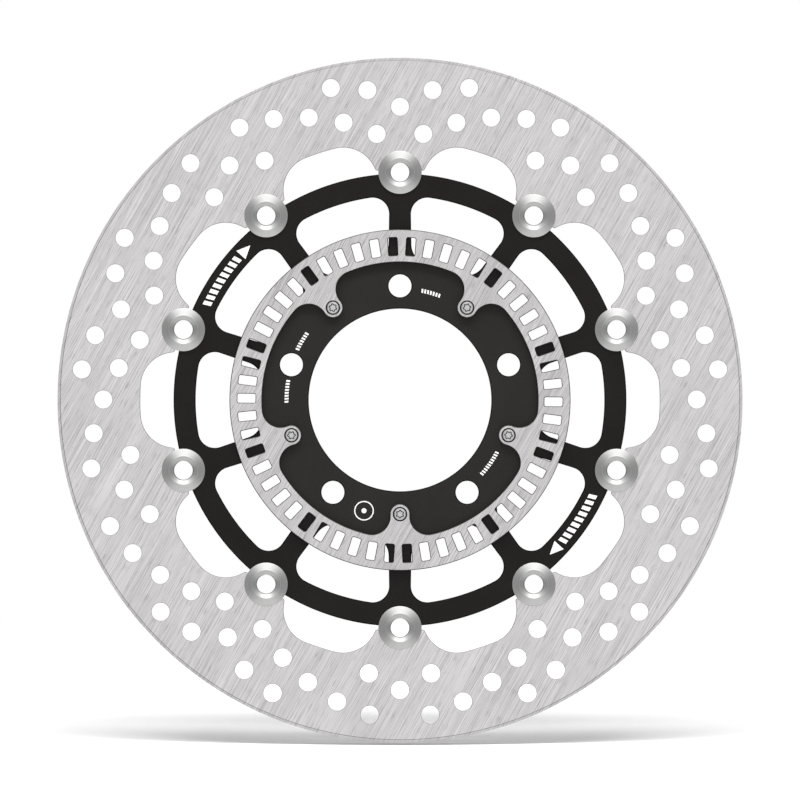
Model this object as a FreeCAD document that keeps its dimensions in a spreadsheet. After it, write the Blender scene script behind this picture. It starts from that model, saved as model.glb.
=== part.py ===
import FreeCAD, Part
import math
import os

import Sketcher

# A floating front brake disc: a drilled friction ring hangs on ten hollow bobbins round
# the rim of a spoked carrier, which carries the slotted tone ring of the wheel sensor.
#
# Every sub-part is drawn lying flat, then stood up by its Placement so that the axle line
# runs along Y and the outboard face looks towards -Y. The origin is the centre of the bore
# on the face that bolts to the wheel hub. A depth is a distance from that hub face towards
# the outboard side, so a depth of 5 lies at y = -5.

# (alias, value in millimetres, degrees or a count, meaning)
DIMENSIONS = (
    ("hub_bolts", 5, "bolts that hold the carrier to the hub"),
    ("bobbin_count", 10, "bobbins, lugs, spokes and scallops"),
    ("bobbin_circle", 99.75, "radius of the circle through the bobbins"),
    ("notch_radius", 7.55, "notch for a bobbin in either plate"),
    ("ring_radius", 150.0, "friction ring, outside"),
    ("ring_bore", 101.0, "friction ring, radius at the tips of its lugs"),
    ("ring_thickness", 5.0, "friction ring, thickness"),
    ("ring_depth", 1.5, "friction ring, depth of its rear face"),
    ("rim_bevel", 1.25, "friction ring, width of the shallow bevel round its rim"),
    ("rim_bevel_depth", 0.2, "friction ring, how far that bevel falls"),
    ("lug_tip_fillet", 0.8, "friction ring, rounding of the lug tips"),
    ("scallop_radius", 113.8, "scallop, radius of its outer arc about the axle"),
    ("scallop_corner", 15.0, "scallop, radius of its two corners"),
    ("scallop_corner_at", 3.4, "scallop, angle from its middle to a corner's centre"),
    ("scallop_lean", 10.0, "scallop, lean of its sides away from its middle line"),
    ("scallop_floor", 98.0, "scallop, where its cut ends inside the ring's bore"),
    ("vent_radius", 4.0, "drilled hole, radius"),
    ("vent_chamfer", 0.1, "drilled hole, chamfer"),
    ("vent_sectors", 5, "repeats of the drilling pattern round the ring"),
    ("plate_radius", 99.2, "carrier, outside"),
    ("plate_thickness", 5.6, "carrier, thickness of spokes and rim"),
    ("plate_depth", 1.2, "carrier, depth of its rear face"),
    ("plate_chamfer", 0.4, "carrier, chamfer of its bore, rim and windows"),
    ("hub_bore", 40.0, "carrier, radius of the centre bore"),
    ("hub_land", 58.0, "carrier, radius of the raised land that meets the hub"),
    ("bolt_circle", 50.0, "radius of the circle through bolts and sensor screws"),
    ("bolt_hole", 5.0, "hub bolt hole, radius"),
    ("window_outer", 89.5, "carrier window, radius of its outer arc"),
    ("window_outer_corner", 7.2, "carrier window, radius of its outer corners"),
    ("window_inner", 60.9, "carrier window, radius of its inner arc"),
    ("window_inner_corner", 8.7, "carrier window, radius of its inner corners"),
    ("spoke_side", 6.1, "distance from the axle to the line of a spoke's side"),
    ("spoke_lean", 0.93, "angle between a spoke's side and its middle line"),
    ("tapped_hole", 2.05, "carrier, hole for a sensor ring screw"),
    ("tone_radius", 74.7, "tone ring, outside"),
    ("tone_bore", 60.45, "tone ring, inside"),
    ("tone_thickness", 2.0, "tone ring, thickness"),
    ("tab_radius", 4.4, "tone ring, rounding of a tab's end"),
    ("tab_corner", 8.0, "tone ring, radius of the corners beside a tab"),
    ("tab_hole", 2.1, "tone ring, screw hole before it is countersunk"),
    ("countersink", 1.1, "tone ring, depth of the countersink"),
    ("slot_count", 54, "slots of the tone ring"),
    ("slot_inner", 63.3, "slot, radius of its inner end"),
    ("slot_outer", 71.2, "slot, radius of its outer end"),
    ("slot_width", 3.95, "slot, width"),
    ("slot_corner", 0.65, "slot, radius of its corners"),
    ("slot_first", 6.0, "slot, angle of the first one"),
    ("bobbin_flange", 9.5, "bobbin, radius of its flange"),
    ("bobbin_ridge", 6.2, "bobbin, radius of the ridge between its two cones"),
    ("bobbin_barrel", 7.5, "bobbin, radius of its barrel"),
    ("bobbin_hole", 4.05, "bobbin, radius of its hole"),
    ("bobbin_grip", 9.0, "bobbin, from its rear end to the flange's seat"),
    ("bobbin_rim", 0.7, "bobbin, height of the flange's edge"),
    ("bobbin_cone", 1.1, "bobbin, height of its outer cone"),
    ("bobbin_sink", 1.2, "bobbin, depth of its inner cone"),
    ("bobbin_chamfer", 0.4, "bobbin, chamfer of its rear end"),
    ("groove_radius", 7.15, "circlip groove, radius of its floor"),
    ("groove_start", 0.6, "circlip groove, from the bobbin's rear end"),
    ("groove_width", 1.1, "circlip groove, width"),
    ("washer_bore", 7.65, "flat and wave washers, inside radius"),
    ("washer_radius", 9.5, "flat washer, outside radius"),
    ("washer_thickness", 0.8, "flat washer, thickness"),
    ("wave_radius", 9.3, "wave washer, outside radius"),
    ("wave_height", 1.0, "wave washer, height between its neighbours"),
    ("wave_sheet", 0.35, "wave washer, thickness of its sheet"),
    ("clip_bore", 7.2, "circlip, inside radius"),
    ("clip_radius", 9.0, "circlip, outside radius"),
    ("clip_offset", 0.4, "circlip, how far its outside circle is set off centre"),
    ("clip_thickness", 1.0, "circlip, thickness"),
    ("clip_gap", 2.5, "circlip, width of its gap"),
    ("eye_circle", 9.0, "circlip, radius through the centres of its eyes"),
    ("eye_angle", 20.0, "circlip, angle from the gap's middle to an eye"),
    ("eye_radius", 1.7, "circlip, radius of an eye"),
    ("eye_hole", 0.85, "circlip, radius of the hole in an eye"),
    ("screw_length", 8.0, "sensor ring screw, overall length"),
    ("screw_shank", 1.95, "sensor ring screw, radius of its shank"),
    ("screw_head", 2.85, "sensor ring screw, radius of its head"),
    ("screw_lip", 0.3, "sensor ring screw, height of the head's edge"),
    ("screw_chamfer", 0.4, "sensor ring screw, chamfer of its tip"),
    ("socket_point", 1.635, "six-lobe recess, radius to the lobes"),
    ("socket_waist", 1.17, "six-lobe recess, radius between the lobes"),
    ("socket_lobe", 0.267, "six-lobe recess, radius of a lobe"),
    ("socket_depth", 1.3, "six-lobe recess, depth"),
)

# One sector of the drilling pattern, mirrored about its middle line: (degrees from the
# middle of the sector, radius). The first hole and the last are shared or unmirrored.
VENT_MIDDLE = (0.0, 128.5)
VENT_EDGE = (36.0, 127.0)
VENT_PAIRS = (
    (5.0, 117.0),
    (6.0, 136.5),
    (11.5, 124.0),
    (12.5, 140.0),
    (17.9, 130.0),
    (24.2, 135.0),
    (29.5, 120.5),
    (30.5, 138.5),
)

FULL_TURN = 360.0
UPWARD = 90.0  # angle of the bobbin, bolt and drilling sector that point straight up
SCREW_PHASE = 54.0  # angle of the first sensor ring screw
SOCKET_LOBES = 6

# Depths and shapes that several sub-parts share, as expressions of the sheet.
PLATE_FRONT = "(sizes.plate_depth + sizes.plate_thickness)"
WASHER_REAR = "(sizes.plate_depth - sizes.washer_thickness)"
WAVE_REAR = f"({WASHER_REAR} - sizes.wave_height)"
WAVE_RISE = "(sizes.wave_height - sizes.wave_sheet)"
WAVE_BEND = f"((sizes.wave_radius ^ 2 + {WAVE_RISE} ^ 2) / 2 / {WAVE_RISE})"
WAVE_HALF = "(sizes.wave_radius + 1)"
SOCKET_REACH = "(sizes.socket_point - sizes.socket_lobe)"
# Radius of the hollow arcs that touch two neighbouring lobes and the waist circle.
SOCKET_HOLLOW = (
    f"(({SOCKET_REACH} ^ 2 + sizes.socket_waist ^ 2 - sizes.socket_lobe ^ 2"
    f" - 2 * {SOCKET_REACH} * sizes.socket_waist * cos(30))"
    f" / 2 / (sizes.socket_lobe - sizes.socket_waist + {SOCKET_REACH} * cos(30)))"
)

START, END, CENTRE = 1, 2, 3  # the points of a line or arc, as the sketcher numbers them
ORIGIN = (-1, 1)  # the sketch's own origin
TOLERANCE = 1e-3


# ---------------------------------------------------------------- document and helpers


def make_sheet(document):
    """The spreadsheet that drives every size."""
    sheet = document.addObject("Spreadsheet::Sheet", "sizes")
    for row, (alias, value, meaning) in enumerate(DIMENSIONS, 1):
        sheet.set(f"A{row}", meaning)
        sheet.set(f"B{row}", str(value))
        sheet.setAlias(f"B{row}", alias)
    document.recompute()
    return sheet


def new_body(document, label):
    body = document.addObject("PartDesign::Body", label)
    body.Label = label
    return body


def stand_up(body, depth, circle=None, angle=0.0):
    """Stands a flat body up at a depth, and at an angle round a circle about the axle."""
    turned = FreeCAD.Rotation(FreeCAD.Vector(0, 0, 1), angle)
    upright = FreeCAD.Rotation(FreeCAD.Vector(1, 0, 0), 90)
    body.Placement = FreeCAD.Placement(FreeCAD.Vector(), upright * turned)
    body.setExpression(".Placement.Base.y", f"-({depth})")
    if circle:
        body.setExpression(".Placement.Base.x", f"{circle} * cos({angle})")
        body.setExpression(".Placement.Base.z", f"{circle} * sin({angle})")


def sketch_on(body, name, plane="XY_Plane", height=None, turn=0.0):
    """An empty sketch on one of the body's own planes, raised and turned if asked."""
    sketch = body.newObject("Sketcher::SketchObject", name)
    support = next(f for f in body.Origin.OriginFeatures if f.Role == plane)
    sketch.AttachmentSupport = [(support, "")]
    sketch.MapMode = "FlatFace"
    spin = FreeCAD.Rotation(FreeCAD.Vector(0, 0, 1), turn)
    sketch.AttachmentOffset = FreeCAD.Placement(FreeCAD.Vector(), spin)
    if height:
        sketch.setExpression(".AttachmentOffset.Base.z", height)
    return sketch


def value_of(owner, expression):
    result = owner.evalExpression(expression)
    return float(getattr(result, "Value", result))


def drive(sketch, kind, places, expression):
    """Adds a dimension to the sketch that follows an expression of the sheet."""
    value = value_of(sketch, expression)
    if kind == "Angle":
        value = math.radians(value)
    index = sketch.addConstraint(Sketcher.Constraint(kind, *places, value))
    sketch.setExpression(f"Constraints[{index}]", expression)


def place_point(sketch, item, point, x, y):
    """Holds a point at (x, y), two expressions; "0" puts it on an axis."""
    for kind, axis, expression in (("DistanceX", -2, x), ("DistanceY", -1, y)):
        if expression == "0":
            sketch.addConstraint(Sketcher.Constraint("PointOnObject", item, point, axis))
        else:
            drive(sketch, kind, (*ORIGIN, item, point), expression)


def add_circle(sketch, radius, x="0", y="0"):
    """A circle whose radius and centre follow expressions."""
    centre = FreeCAD.Vector(value_of(sketch, x), value_of(sketch, y), 0)
    shape = Part.Circle(centre, FreeCAD.Vector(0, 0, 1), value_of(sketch, radius))
    item = sketch.addGeometry(shape, False)
    place_point(sketch, item, CENTRE, x, y)
    drive(sketch, "Radius", (item,), radius)
    return item


def add_profile(sketch, corners):
    """A closed outline of straight lines through corners given as pairs of expressions."""
    points = [FreeCAD.Vector(value_of(sketch, x), value_of(sketch, y), 0) for x, y in corners]
    ends = points[1:] + points[:1]
    items = [
        sketch.addGeometry(Part.LineSegment(first, last), False)
        for first, last in zip(points, ends)
    ]
    for item, following in zip(items, items[1:] + items[:1]):
        sketch.addConstraint(Sketcher.Constraint("Coincident", item, END, following, START))
    for item, (x, y) in zip(items, corners):
        place_point(sketch, item, START, x, y)


def at_angle(radius, angle, centre=None):
    """The point at a radius and an angle in degrees about a centre."""
    turn = math.radians(angle)
    offset = FreeCAD.Vector(radius * math.cos(turn), radius * math.sin(turn), 0)
    return offset + (centre or FreeCAD.Vector())


def angle_of(vector):
    return math.degrees(math.atan2(vector.y, vector.x))


def arc(centre, radius, first, last):
    """An arc walked from one angle to another, and whether that walk is anticlockwise."""
    anticlockwise = last > first
    low, high = sorted((first, last))
    circle = Part.Circle(centre, FreeCAD.Vector(0, 0, 1), radius)
    shape = Part.ArcOfCircle(circle, math.radians(low), math.radians(high))
    return shape, anticlockwise


def line(first, last):
    return Part.LineSegment(first, last), True


def add_outline(sketch, pieces, sharp=()):
    """Joins arcs and lines end to end, tangent except after the pieces listed in sharp."""
    items = [sketch.addGeometry(shape, False) for shape, _ in pieces]
    count = len(items)
    for place in range(count):
        after = (place + 1) % count
        leave = END if pieces[place][1] else START
        enter = START if pieces[after][1] else END
        kind = "Coincident" if place in sharp else "Tangent"
        sketch.addConstraint(
            Sketcher.Constraint(kind, items[place], leave, items[after], enter)
        )
    return items


def centre_on_origin(sketch, item):
    sketch.addConstraint(Sketcher.Constraint("Coincident", item, CENTRE, *ORIGIN))


def add_pad(body, sketch, length):
    pad = body.newObject("PartDesign::Pad", sketch.Name + "_pad")
    pad.Profile = sketch
    pad.setExpression("Length", length)
    body.Tip = pad
    return pad


def add_pocket(body, sketch, depth=None):
    """Cuts a sketch through the whole body, or down from the sketch by a depth."""
    pocket = body.newObject("PartDesign::Pocket", sketch.Name + "_pocket")
    pocket.Profile = sketch
    if depth:
        pocket.setExpression("Length", depth)
    else:
        pocket.Type = "ThroughAll"
        pocket.SideType = "Symmetric"
    body.Tip = pocket
    return pocket


def add_turned(body, sketch):
    """Turns a profile about the body's own axis."""
    turned = body.newObject("PartDesign::Revolution", sketch.Name + "_turned")
    turned.Profile = sketch
    turned.ReferenceAxis = (sketch, ["V_Axis"])
    turned.Angle = FULL_TURN
    body.Tip = turned
    return turned


def repeat(body, feature, count):
    """Repeats a cut evenly round the body's axis."""
    pattern = body.newObject("PartDesign::PolarPattern", feature.Name + "_round")
    pattern.Originals = [feature]
    axis = next(f for f in body.Origin.OriginFeatures if f.Role == "Z_Axis")
    pattern.Axis = (axis, [""])
    pattern.Angle = FULL_TURN
    pattern.setExpression("Occurrences", count)
    body.Tip = pattern
    return pattern


def edges_where(feature, wanted):
    """Names of the feature's edges that a test accepts."""
    edges = feature.Shape.Edges
    return [f"Edge{number}" for number, edge in enumerate(edges, 1) if wanted(edge)]


def round_edge(edge, radius):
    """Whether an edge is part of a circle of a radius."""
    return isinstance(edge.Curve, Part.Circle) and abs(edge.Curve.Radius - radius) < TOLERANCE


def dress(body, kind, size, names):
    """Adds a Chamfer or Fillet to the named edges of the body's tip."""
    base = body.Tip
    feature = body.newObject(f"PartDesign::{kind}", f"{base.Name}_{kind.lower()}")
    feature.Base = (base, names)
    feature.setExpression("Size" if kind == "Chamfer" else "Radius", size)
    body.Tip = feature
    return feature


def cut_notches(body):
    """Cuts the round notches that the bobbins sit in."""
    sketch = sketch_on(body, f"{body.Name}_notch")
    add_circle(sketch, "sizes.notch_radius", "0", "sizes.bobbin_circle")
    repeat(body, add_pocket(body, sketch), "sizes.bobbin_count")


# ------------------------------------------------------------------------ friction ring


def scallop_outline(sketch, sizes):
    """One scallop, symmetric about the sketch's vertical axis."""
    radius = sizes.scallop_corner
    lean = sizes.scallop_lean
    right = at_angle(sizes.scallop_radius - radius, UPWARD - sizes.scallop_corner_at)
    left = FreeCAD.Vector(-right.x, right.y, 0)
    side = at_angle(radius, lean, right)
    foot = FreeCAD.Vector(
        side.x + (side.y - sizes.scallop_floor) * math.tan(math.radians(lean)),
        sizes.scallop_floor,
        0,
    )
    left_side = FreeCAD.Vector(-side.x, side.y, 0)
    left_foot = FreeCAD.Vector(-foot.x, foot.y, 0)
    half = sizes.scallop_corner_at
    pieces = [
        arc(FreeCAD.Vector(), sizes.scallop_radius, UPWARD - half, UPWARD + half),
        arc(left, radius, UPWARD + half, 180.0 - lean),
        line(left_side, left_foot),
        line(left_foot, foot),
        line(foot, side),
        arc(right, radius, lean, UPWARD - half),
    ]
    items = add_outline(sketch, pieces, sharp=(2, 3))
    top, left_corner, left_line, floor, right_line, right_corner = items
    centre_on_origin(sketch, top)
    drive(sketch, "Radius", (top,), "sizes.scallop_radius")
    for corner, sign in ((left_corner, "-"), (right_corner, "")):
        drive(sketch, "Radius", (corner,), "sizes.scallop_corner")
        across = "(sizes.scallop_radius - sizes.scallop_corner) * sin(sizes.scallop_corner_at)"
        drive(sketch, "DistanceX", (*ORIGIN, corner, CENTRE), sign + across)
    drive(sketch, "Angle", (left_line,), "-90 - sizes.scallop_lean")
    drive(sketch, "Angle", (right_line,), "90 + sizes.scallop_lean")
    sketch.addConstraint(Sketcher.Constraint("Horizontal", floor))
    drive(sketch, "DistanceY", (*ORIGIN, floor, START), "sizes.scallop_floor")


def drill_pattern(sketch):
    """The holes of one sector, about the sketch's vertical axis."""
    places = [VENT_MIDDLE, VENT_EDGE]
    for angle, radius in VENT_PAIRS:
        places += [(angle, radius), (-angle, radius)]
    for angle, radius in places:
        across = f"{radius} * sin({angle})" if angle else "0"
        add_circle(sketch, "sizes.vent_radius", across, f"{radius} * cos({angle})")


def make_friction_ring(document, sizes):
    body = new_body(document, "friction_ring")
    blank = sketch_on(body, "ring_blank", "XZ_Plane")
    flat_radius = "sizes.ring_radius - sizes.rim_bevel"
    corners = [
        ("sizes.ring_bore", "0"),
        (flat_radius, "0"),
        ("sizes.ring_radius", "sizes.rim_bevel_depth"),
        ("sizes.ring_radius", "sizes.ring_thickness - sizes.rim_bevel_depth"),
        (flat_radius, "sizes.ring_thickness"),
        ("sizes.ring_bore", "sizes.ring_thickness"),
    ]
    add_profile(blank, corners)
    add_turned(body, blank)

    between_lugs = FULL_TURN / sizes.bobbin_count / 2
    scallop = sketch_on(body, "scallop", turn=between_lugs)
    scallop_outline(scallop, sizes)
    repeat(body, add_pocket(body, scallop), "sizes.bobbin_count")
    cut_notches(body)
    document.recompute()

    def at_lug_tip(edge):
        upright = isinstance(edge.Curve, Part.Line) and abs(edge.Curve.Direction.z) > 0.9
        place = edge.Vertexes[0].Point
        return upright and abs(math.hypot(place.x, place.y) - sizes.ring_bore) < TOLERANCE

    dress(body, "Fillet", "sizes.lug_tip_fillet", edges_where(body.Tip, at_lug_tip))

    holes = sketch_on(body, "vents")
    drill_pattern(holes)
    repeat(body, add_pocket(body, holes), "sizes.vent_sectors")
    document.recompute()

    vents = edges_where(body.Tip, lambda edge: round_edge(edge, sizes.vent_radius))
    dress(body, "Chamfer", "sizes.vent_chamfer", vents)
    stand_up(body, "sizes.ring_depth")
    return body


# ------------------------------------------------------------------------------ carrier


def window_outline(sketch, sizes):
    """One window between two spokes, symmetric about the sketch's vertical axis."""
    spoke = UPWARD - FULL_TURN / sizes.bobbin_count / 2 - sizes.spoke_lean
    along = at_angle(1.0, spoke)
    inward = at_angle(1.0, spoke + UPWARD)

    def beside_spoke(offset, radius):
        """The point at a radius, and at a distance from the line through the axle."""
        reach = math.sqrt(radius**2 - offset**2)
        return along * reach + inward * offset

    outer_offset = sizes.spoke_side + sizes.window_outer_corner
    inner_offset = sizes.spoke_side + sizes.window_inner_corner
    outer = beside_spoke(outer_offset, sizes.window_outer - sizes.window_outer_corner)
    inner = beside_spoke(inner_offset, sizes.window_inner + sizes.window_inner_corner)
    outer_foot = outer - inward * sizes.window_outer_corner
    inner_foot = inner - inward * sizes.window_inner_corner

    def mirrored(point):
        return FreeCAD.Vector(-point.x, point.y, 0)

    outer_at = angle_of(outer)
    inner_at = angle_of(inner)
    side = spoke - UPWARD  # direction from a corner's centre to the spoke's side
    pieces = [
        arc(FreeCAD.Vector(), sizes.window_outer, outer_at, 180.0 - outer_at),
        arc(mirrored(outer), sizes.window_outer_corner, 180.0 - outer_at, 180.0 - side),
        line(mirrored(outer_foot), mirrored(inner_foot)),
        arc(mirrored(inner), sizes.window_inner_corner, 180.0 - side, 360.0 - inner_at),
        arc(FreeCAD.Vector(), sizes.window_inner, 180.0 - inner_at, inner_at),
        arc(inner, sizes.window_inner_corner, inner_at - 180.0, side),
        line(inner_foot, outer_foot),
        arc(outer, sizes.window_outer_corner, side, outer_at),
    ]
    top, top_left, left, low_left, low, low_right, right, top_right = add_outline(sketch, pieces)
    for item, radius in ((top, "window_outer"), (low, "window_inner")):
        centre_on_origin(sketch, item)
        drive(sketch, "Radius", (item,), f"sizes.{radius}")
    for item in (top_left, top_right):
        drive(sketch, "Radius", (item,), "sizes.window_outer_corner")
    for item in (low_left, low_right):
        drive(sketch, "Radius", (item,), "sizes.window_inner_corner")
    drive(sketch, "Angle", (right,), "90 - 180 / sizes.bobbin_count - sizes.spoke_lean")
    drive(sketch, "Angle", (left,), "180 / sizes.bobbin_count + sizes.spoke_lean - 90")
    for item in (left, right):
        drive(sketch, "Distance", (*ORIGIN, item), "sizes.spoke_side")


def make_carrier(document, sizes):
    body = new_body(document, "carrier")
    plate = sketch_on(body, "plate")
    add_circle(plate, "sizes.plate_radius")
    add_circle(plate, "sizes.hub_bore")
    add_pad(body, plate, "sizes.plate_thickness")

    land = sketch_on(body, "land", height="-sizes.plate_depth")
    add_circle(land, "sizes.hub_land")
    add_circle(land, "sizes.hub_bore")
    add_pad(body, land, "sizes.plate_depth")

    between_spokes = FULL_TURN / sizes.bobbin_count / 2
    window = sketch_on(body, "window", turn=between_spokes)
    window_outline(window, sizes)
    repeat(body, add_pocket(body, window), "sizes.bobbin_count")
    cut_notches(body)

    bolt = sketch_on(body, "bolt_hole")
    add_circle(bolt, "sizes.bolt_hole", "0", "sizes.bolt_circle")
    repeat(body, add_pocket(body, bolt), "sizes.hub_bolts")

    tapped = sketch_on(body, "tapped_hole", turn=SCREW_PHASE - UPWARD)
    add_circle(tapped, "sizes.tapped_hole", "0", "sizes.bolt_circle")
    repeat(body, add_pocket(body, tapped), "sizes.hub_bolts")
    document.recompute()

    def is_softened(edge):
        flat = edge.BoundBox.ZLength < TOLERANCE
        land_foot = round_edge(edge, sizes.hub_land) and abs(edge.BoundBox.ZMin) < TOLERANCE
        fitted = round_edge(edge, sizes.notch_radius) or round_edge(edge, sizes.tapped_hole)
        return flat and not land_foot and not fitted

    dress(body, "Chamfer", "sizes.plate_chamfer", edges_where(body.Tip, is_softened))
    stand_up(body, "sizes.plate_depth")
    return body


# ---------------------------------------------------------------------------- tone ring


def tabbed_bore(sketch, sizes):
    """The inside outline of the tone ring: a circle broken by rounded tabs."""
    corner = sizes.tab_corner
    corner_circle = sizes.tone_bore - corner
    reach = sizes.tab_radius + corner
    # The three sides between axle, tab and corner centres give the angle at the axle.
    cosine = (corner_circle**2 + sizes.bolt_circle**2 - reach**2) / (
        2 * corner_circle * sizes.bolt_circle
    )
    beside = math.degrees(math.acos(cosine))
    meet = angle_of(at_angle(sizes.bolt_circle, 0.0) - at_angle(corner_circle, -beside))
    pitch = FULL_TURN / sizes.hub_bolts
    turns = [SCREW_PHASE + number * pitch for number in range(sizes.hub_bolts)]
    pieces = []
    for turn in turns:
        before = at_angle(corner_circle, turn - beside)
        after = at_angle(corner_circle, turn + beside)
        tab = at_angle(sizes.bolt_circle, turn)
        pieces += [
            arc(before, corner, turn - beside, turn + meet),
            arc(tab, sizes.tab_radius, turn + meet - 180.0, turn - meet - 180.0),
            arc(after, corner, turn - meet, turn + beside),
            arc(FreeCAD.Vector(), sizes.tone_bore, turn + beside, turn + pitch - beside),
        ]
    items = add_outline(sketch, pieces)
    for turn, place in zip(turns, range(0, len(items), 4)):
        before, tab, after, bore = items[place : place + 4]
        drive(sketch, "Radius", (before,), "sizes.tab_corner")
        drive(sketch, "Radius", (after,), "sizes.tab_corner")
        drive(sketch, "Radius", (tab,), "sizes.tab_radius")
        drive(sketch, "Radius", (bore,), "sizes.tone_bore")
        centre_on_origin(sketch, bore)
        place_point(
            sketch,
            tab,
            CENTRE,
            f"sizes.bolt_circle * cos({turn})",
            f"sizes.bolt_circle * sin({turn})",
        )


def slot_outline(sketch, sizes):
    """One slot of the tone ring, a rectangle with rounded corners."""
    side = sizes.slot_width / 2
    corner = sizes.slot_corner
    low, high = sizes.slot_inner, sizes.slot_outer
    inset = side - corner

    def point(x, y):
        return FreeCAD.Vector(x, y, 0)

    pieces = [
        arc(point(inset, high - corner), corner, 0.0, 90.0),
        line(point(inset, high), point(-inset, high)),
        arc(point(-inset, high - corner), corner, 90.0, 180.0),
        line(point(-side, high - corner), point(-side, low + corner)),
        arc(point(-inset, low + corner), corner, 180.0, 270.0),
        line(point(-inset, low), point(inset, low)),
        arc(point(inset, low + corner), corner, 270.0, 360.0),
        line(point(side, low + corner), point(side, high - corner)),
    ]
    items = add_outline(sketch, pieces)
    for item in items[0::2]:
        drive(sketch, "Radius", (item,), "sizes.slot_corner")
    top, left, bottom, right = items[1::2]
    sketch.addConstraint(Sketcher.Constraint("Horizontal", top))
    sketch.addConstraint(Sketcher.Constraint("Horizontal", bottom))
    sketch.addConstraint(Sketcher.Constraint("Vertical", left))
    sketch.addConstraint(Sketcher.Constraint("Vertical", right))
    drive(sketch, "DistanceY", (*ORIGIN, top, START), "sizes.slot_outer")
    drive(sketch, "DistanceY", (*ORIGIN, bottom, START), "sizes.slot_inner")
    drive(sketch, "DistanceX", (*ORIGIN, left, START), "-sizes.slot_width / 2")
    drive(sketch, "DistanceX", (*ORIGIN, right, START), "sizes.slot_width / 2")


def make_tone_ring(document, sizes):
    body = new_body(document, "tone_ring")
    blank = sketch_on(body, "tone_blank")
    add_circle(blank, "sizes.tone_radius")
    tabbed_bore(blank, sizes)
    add_pad(body, blank, "sizes.tone_thickness")

    slot = sketch_on(body, "slot", turn=sizes.slot_first - UPWARD)
    slot_outline(slot, sizes)
    repeat(body, add_pocket(body, slot), "sizes.slot_count")

    hole = sketch_on(body, "tab_hole", turn=SCREW_PHASE - UPWARD)
    add_circle(hole, "sizes.tab_hole", "0", "sizes.bolt_circle")
    repeat(body, add_pocket(body, hole), "sizes.hub_bolts")
    document.recompute()

    def at_front(edge):
        return round_edge(edge, sizes.tab_hole) and edge.BoundBox.ZMin > sizes.tone_thickness / 2

    dress(body, "Chamfer", "sizes.countersink", edges_where(body.Tip, at_front))
    stand_up(body, PLATE_FRONT)
    return body


# ------------------------------------------------------------------- bobbins and screws


def make_bobbin(document, number, angle):
    """A hollow flanged button, turned from bar, with a groove for its circlip."""
    body = new_body(document, f"bobbin_{number}")
    profile = sketch_on(body, f"bobbin_{number}_profile", "XZ_Plane")
    top = "sizes.bobbin_grip + sizes.bobbin_rim + sizes.bobbin_cone"
    groove_end = "sizes.groove_start + sizes.groove_width"
    corners = [
        ("sizes.bobbin_hole", "0"),
        ("sizes.bobbin_barrel - sizes.bobbin_chamfer", "0"),
        ("sizes.bobbin_barrel", "sizes.bobbin_chamfer"),
        ("sizes.bobbin_barrel", "sizes.groove_start"),
        ("sizes.groove_radius", "sizes.groove_start"),
        ("sizes.groove_radius", groove_end),
        ("sizes.bobbin_barrel", groove_end),
        ("sizes.bobbin_barrel", "sizes.bobbin_grip"),
        ("sizes.bobbin_flange", "sizes.bobbin_grip"),
        ("sizes.bobbin_flange", "sizes.bobbin_grip + sizes.bobbin_rim"),
        ("sizes.bobbin_ridge", top),
        ("sizes.bobbin_hole", f"{top} - sizes.bobbin_sink"),
    ]
    add_profile(profile, corners)
    add_turned(body, profile)
    stand_up(body, f"{PLATE_FRONT} - sizes.bobbin_grip", "sizes.bobbin_circle", angle)
    return body


def make_flat_washer(document, number, angle):
    body = new_body(document, f"flat_washer_{number}")
    face = sketch_on(body, f"flat_washer_{number}_face")
    add_circle(face, "sizes.washer_radius")
    add_circle(face, "sizes.washer_bore")
    add_pad(body, face, "sizes.washer_thickness")
    stand_up(body, WASHER_REAR, "sizes.bobbin_circle", angle)
    return body


def bent_strip(sketch, sizes):
    """The side view of a curved spring washer, a strip bent to one wide arc."""
    rise = value_of(sketch, WAVE_RISE)
    bend = value_of(sketch, WAVE_BEND)
    outer_bend = bend + sizes.wave_sheet
    half = value_of(sketch, WAVE_HALF)
    centre = FreeCAD.Vector(0, rise - bend, 0)
    outer_from = math.degrees(math.acos(half / outer_bend))
    inner_from = math.degrees(math.acos(half / bend))
    upper_right = at_angle(outer_bend, outer_from, centre)
    lower_right = at_angle(bend, inner_from, centre)
    upper_left = FreeCAD.Vector(-upper_right.x, upper_right.y, 0)
    lower_left = FreeCAD.Vector(-lower_right.x, lower_right.y, 0)
    pieces = [
        arc(centre, outer_bend, outer_from, 180.0 - outer_from),
        line(upper_left, lower_left),
        arc(centre, bend, 180.0 - inner_from, inner_from),
        line(lower_right, upper_right),
    ]
    upper, left, lower, right = add_outline(sketch, pieces, sharp=(0, 1, 2, 3))
    place_point(sketch, upper, CENTRE, "0", f"{WAVE_RISE} - {WAVE_BEND}")
    sketch.addConstraint(Sketcher.Constraint("Coincident", lower, CENTRE, upper, CENTRE))
    drive(sketch, "Radius", (upper,), f"{WAVE_BEND} + sizes.wave_sheet")
    drive(sketch, "Radius", (lower,), WAVE_BEND)
    for item, sign in ((left, "-"), (right, "")):
        sketch.addConstraint(Sketcher.Constraint("Vertical", item))
        drive(sketch, "DistanceX", (*ORIGIN, item, START), f"{sign}{WAVE_HALF}")


def make_wave_washer(document, sizes, number, angle):
    """A curved spring washer: a bent strip trimmed to a ring."""
    body = new_body(document, f"wave_washer_{number}")
    strip = sketch_on(body, f"wave_washer_{number}_strip", "XZ_Plane")
    bent_strip(strip, sizes)
    pad = add_pad(body, strip, f"2 * {WAVE_HALF}")
    pad.SideType = "Symmetric"

    trim = sketch_on(body, f"wave_washer_{number}_trim")
    add_circle(trim, f"2 * {WAVE_HALF}")
    add_circle(trim, "sizes.wave_radius")
    add_circle(trim, "sizes.washer_bore")
    add_pocket(body, trim)
    stand_up(body, WAVE_REAR, "sizes.bobbin_circle", angle)
    return body


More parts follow.
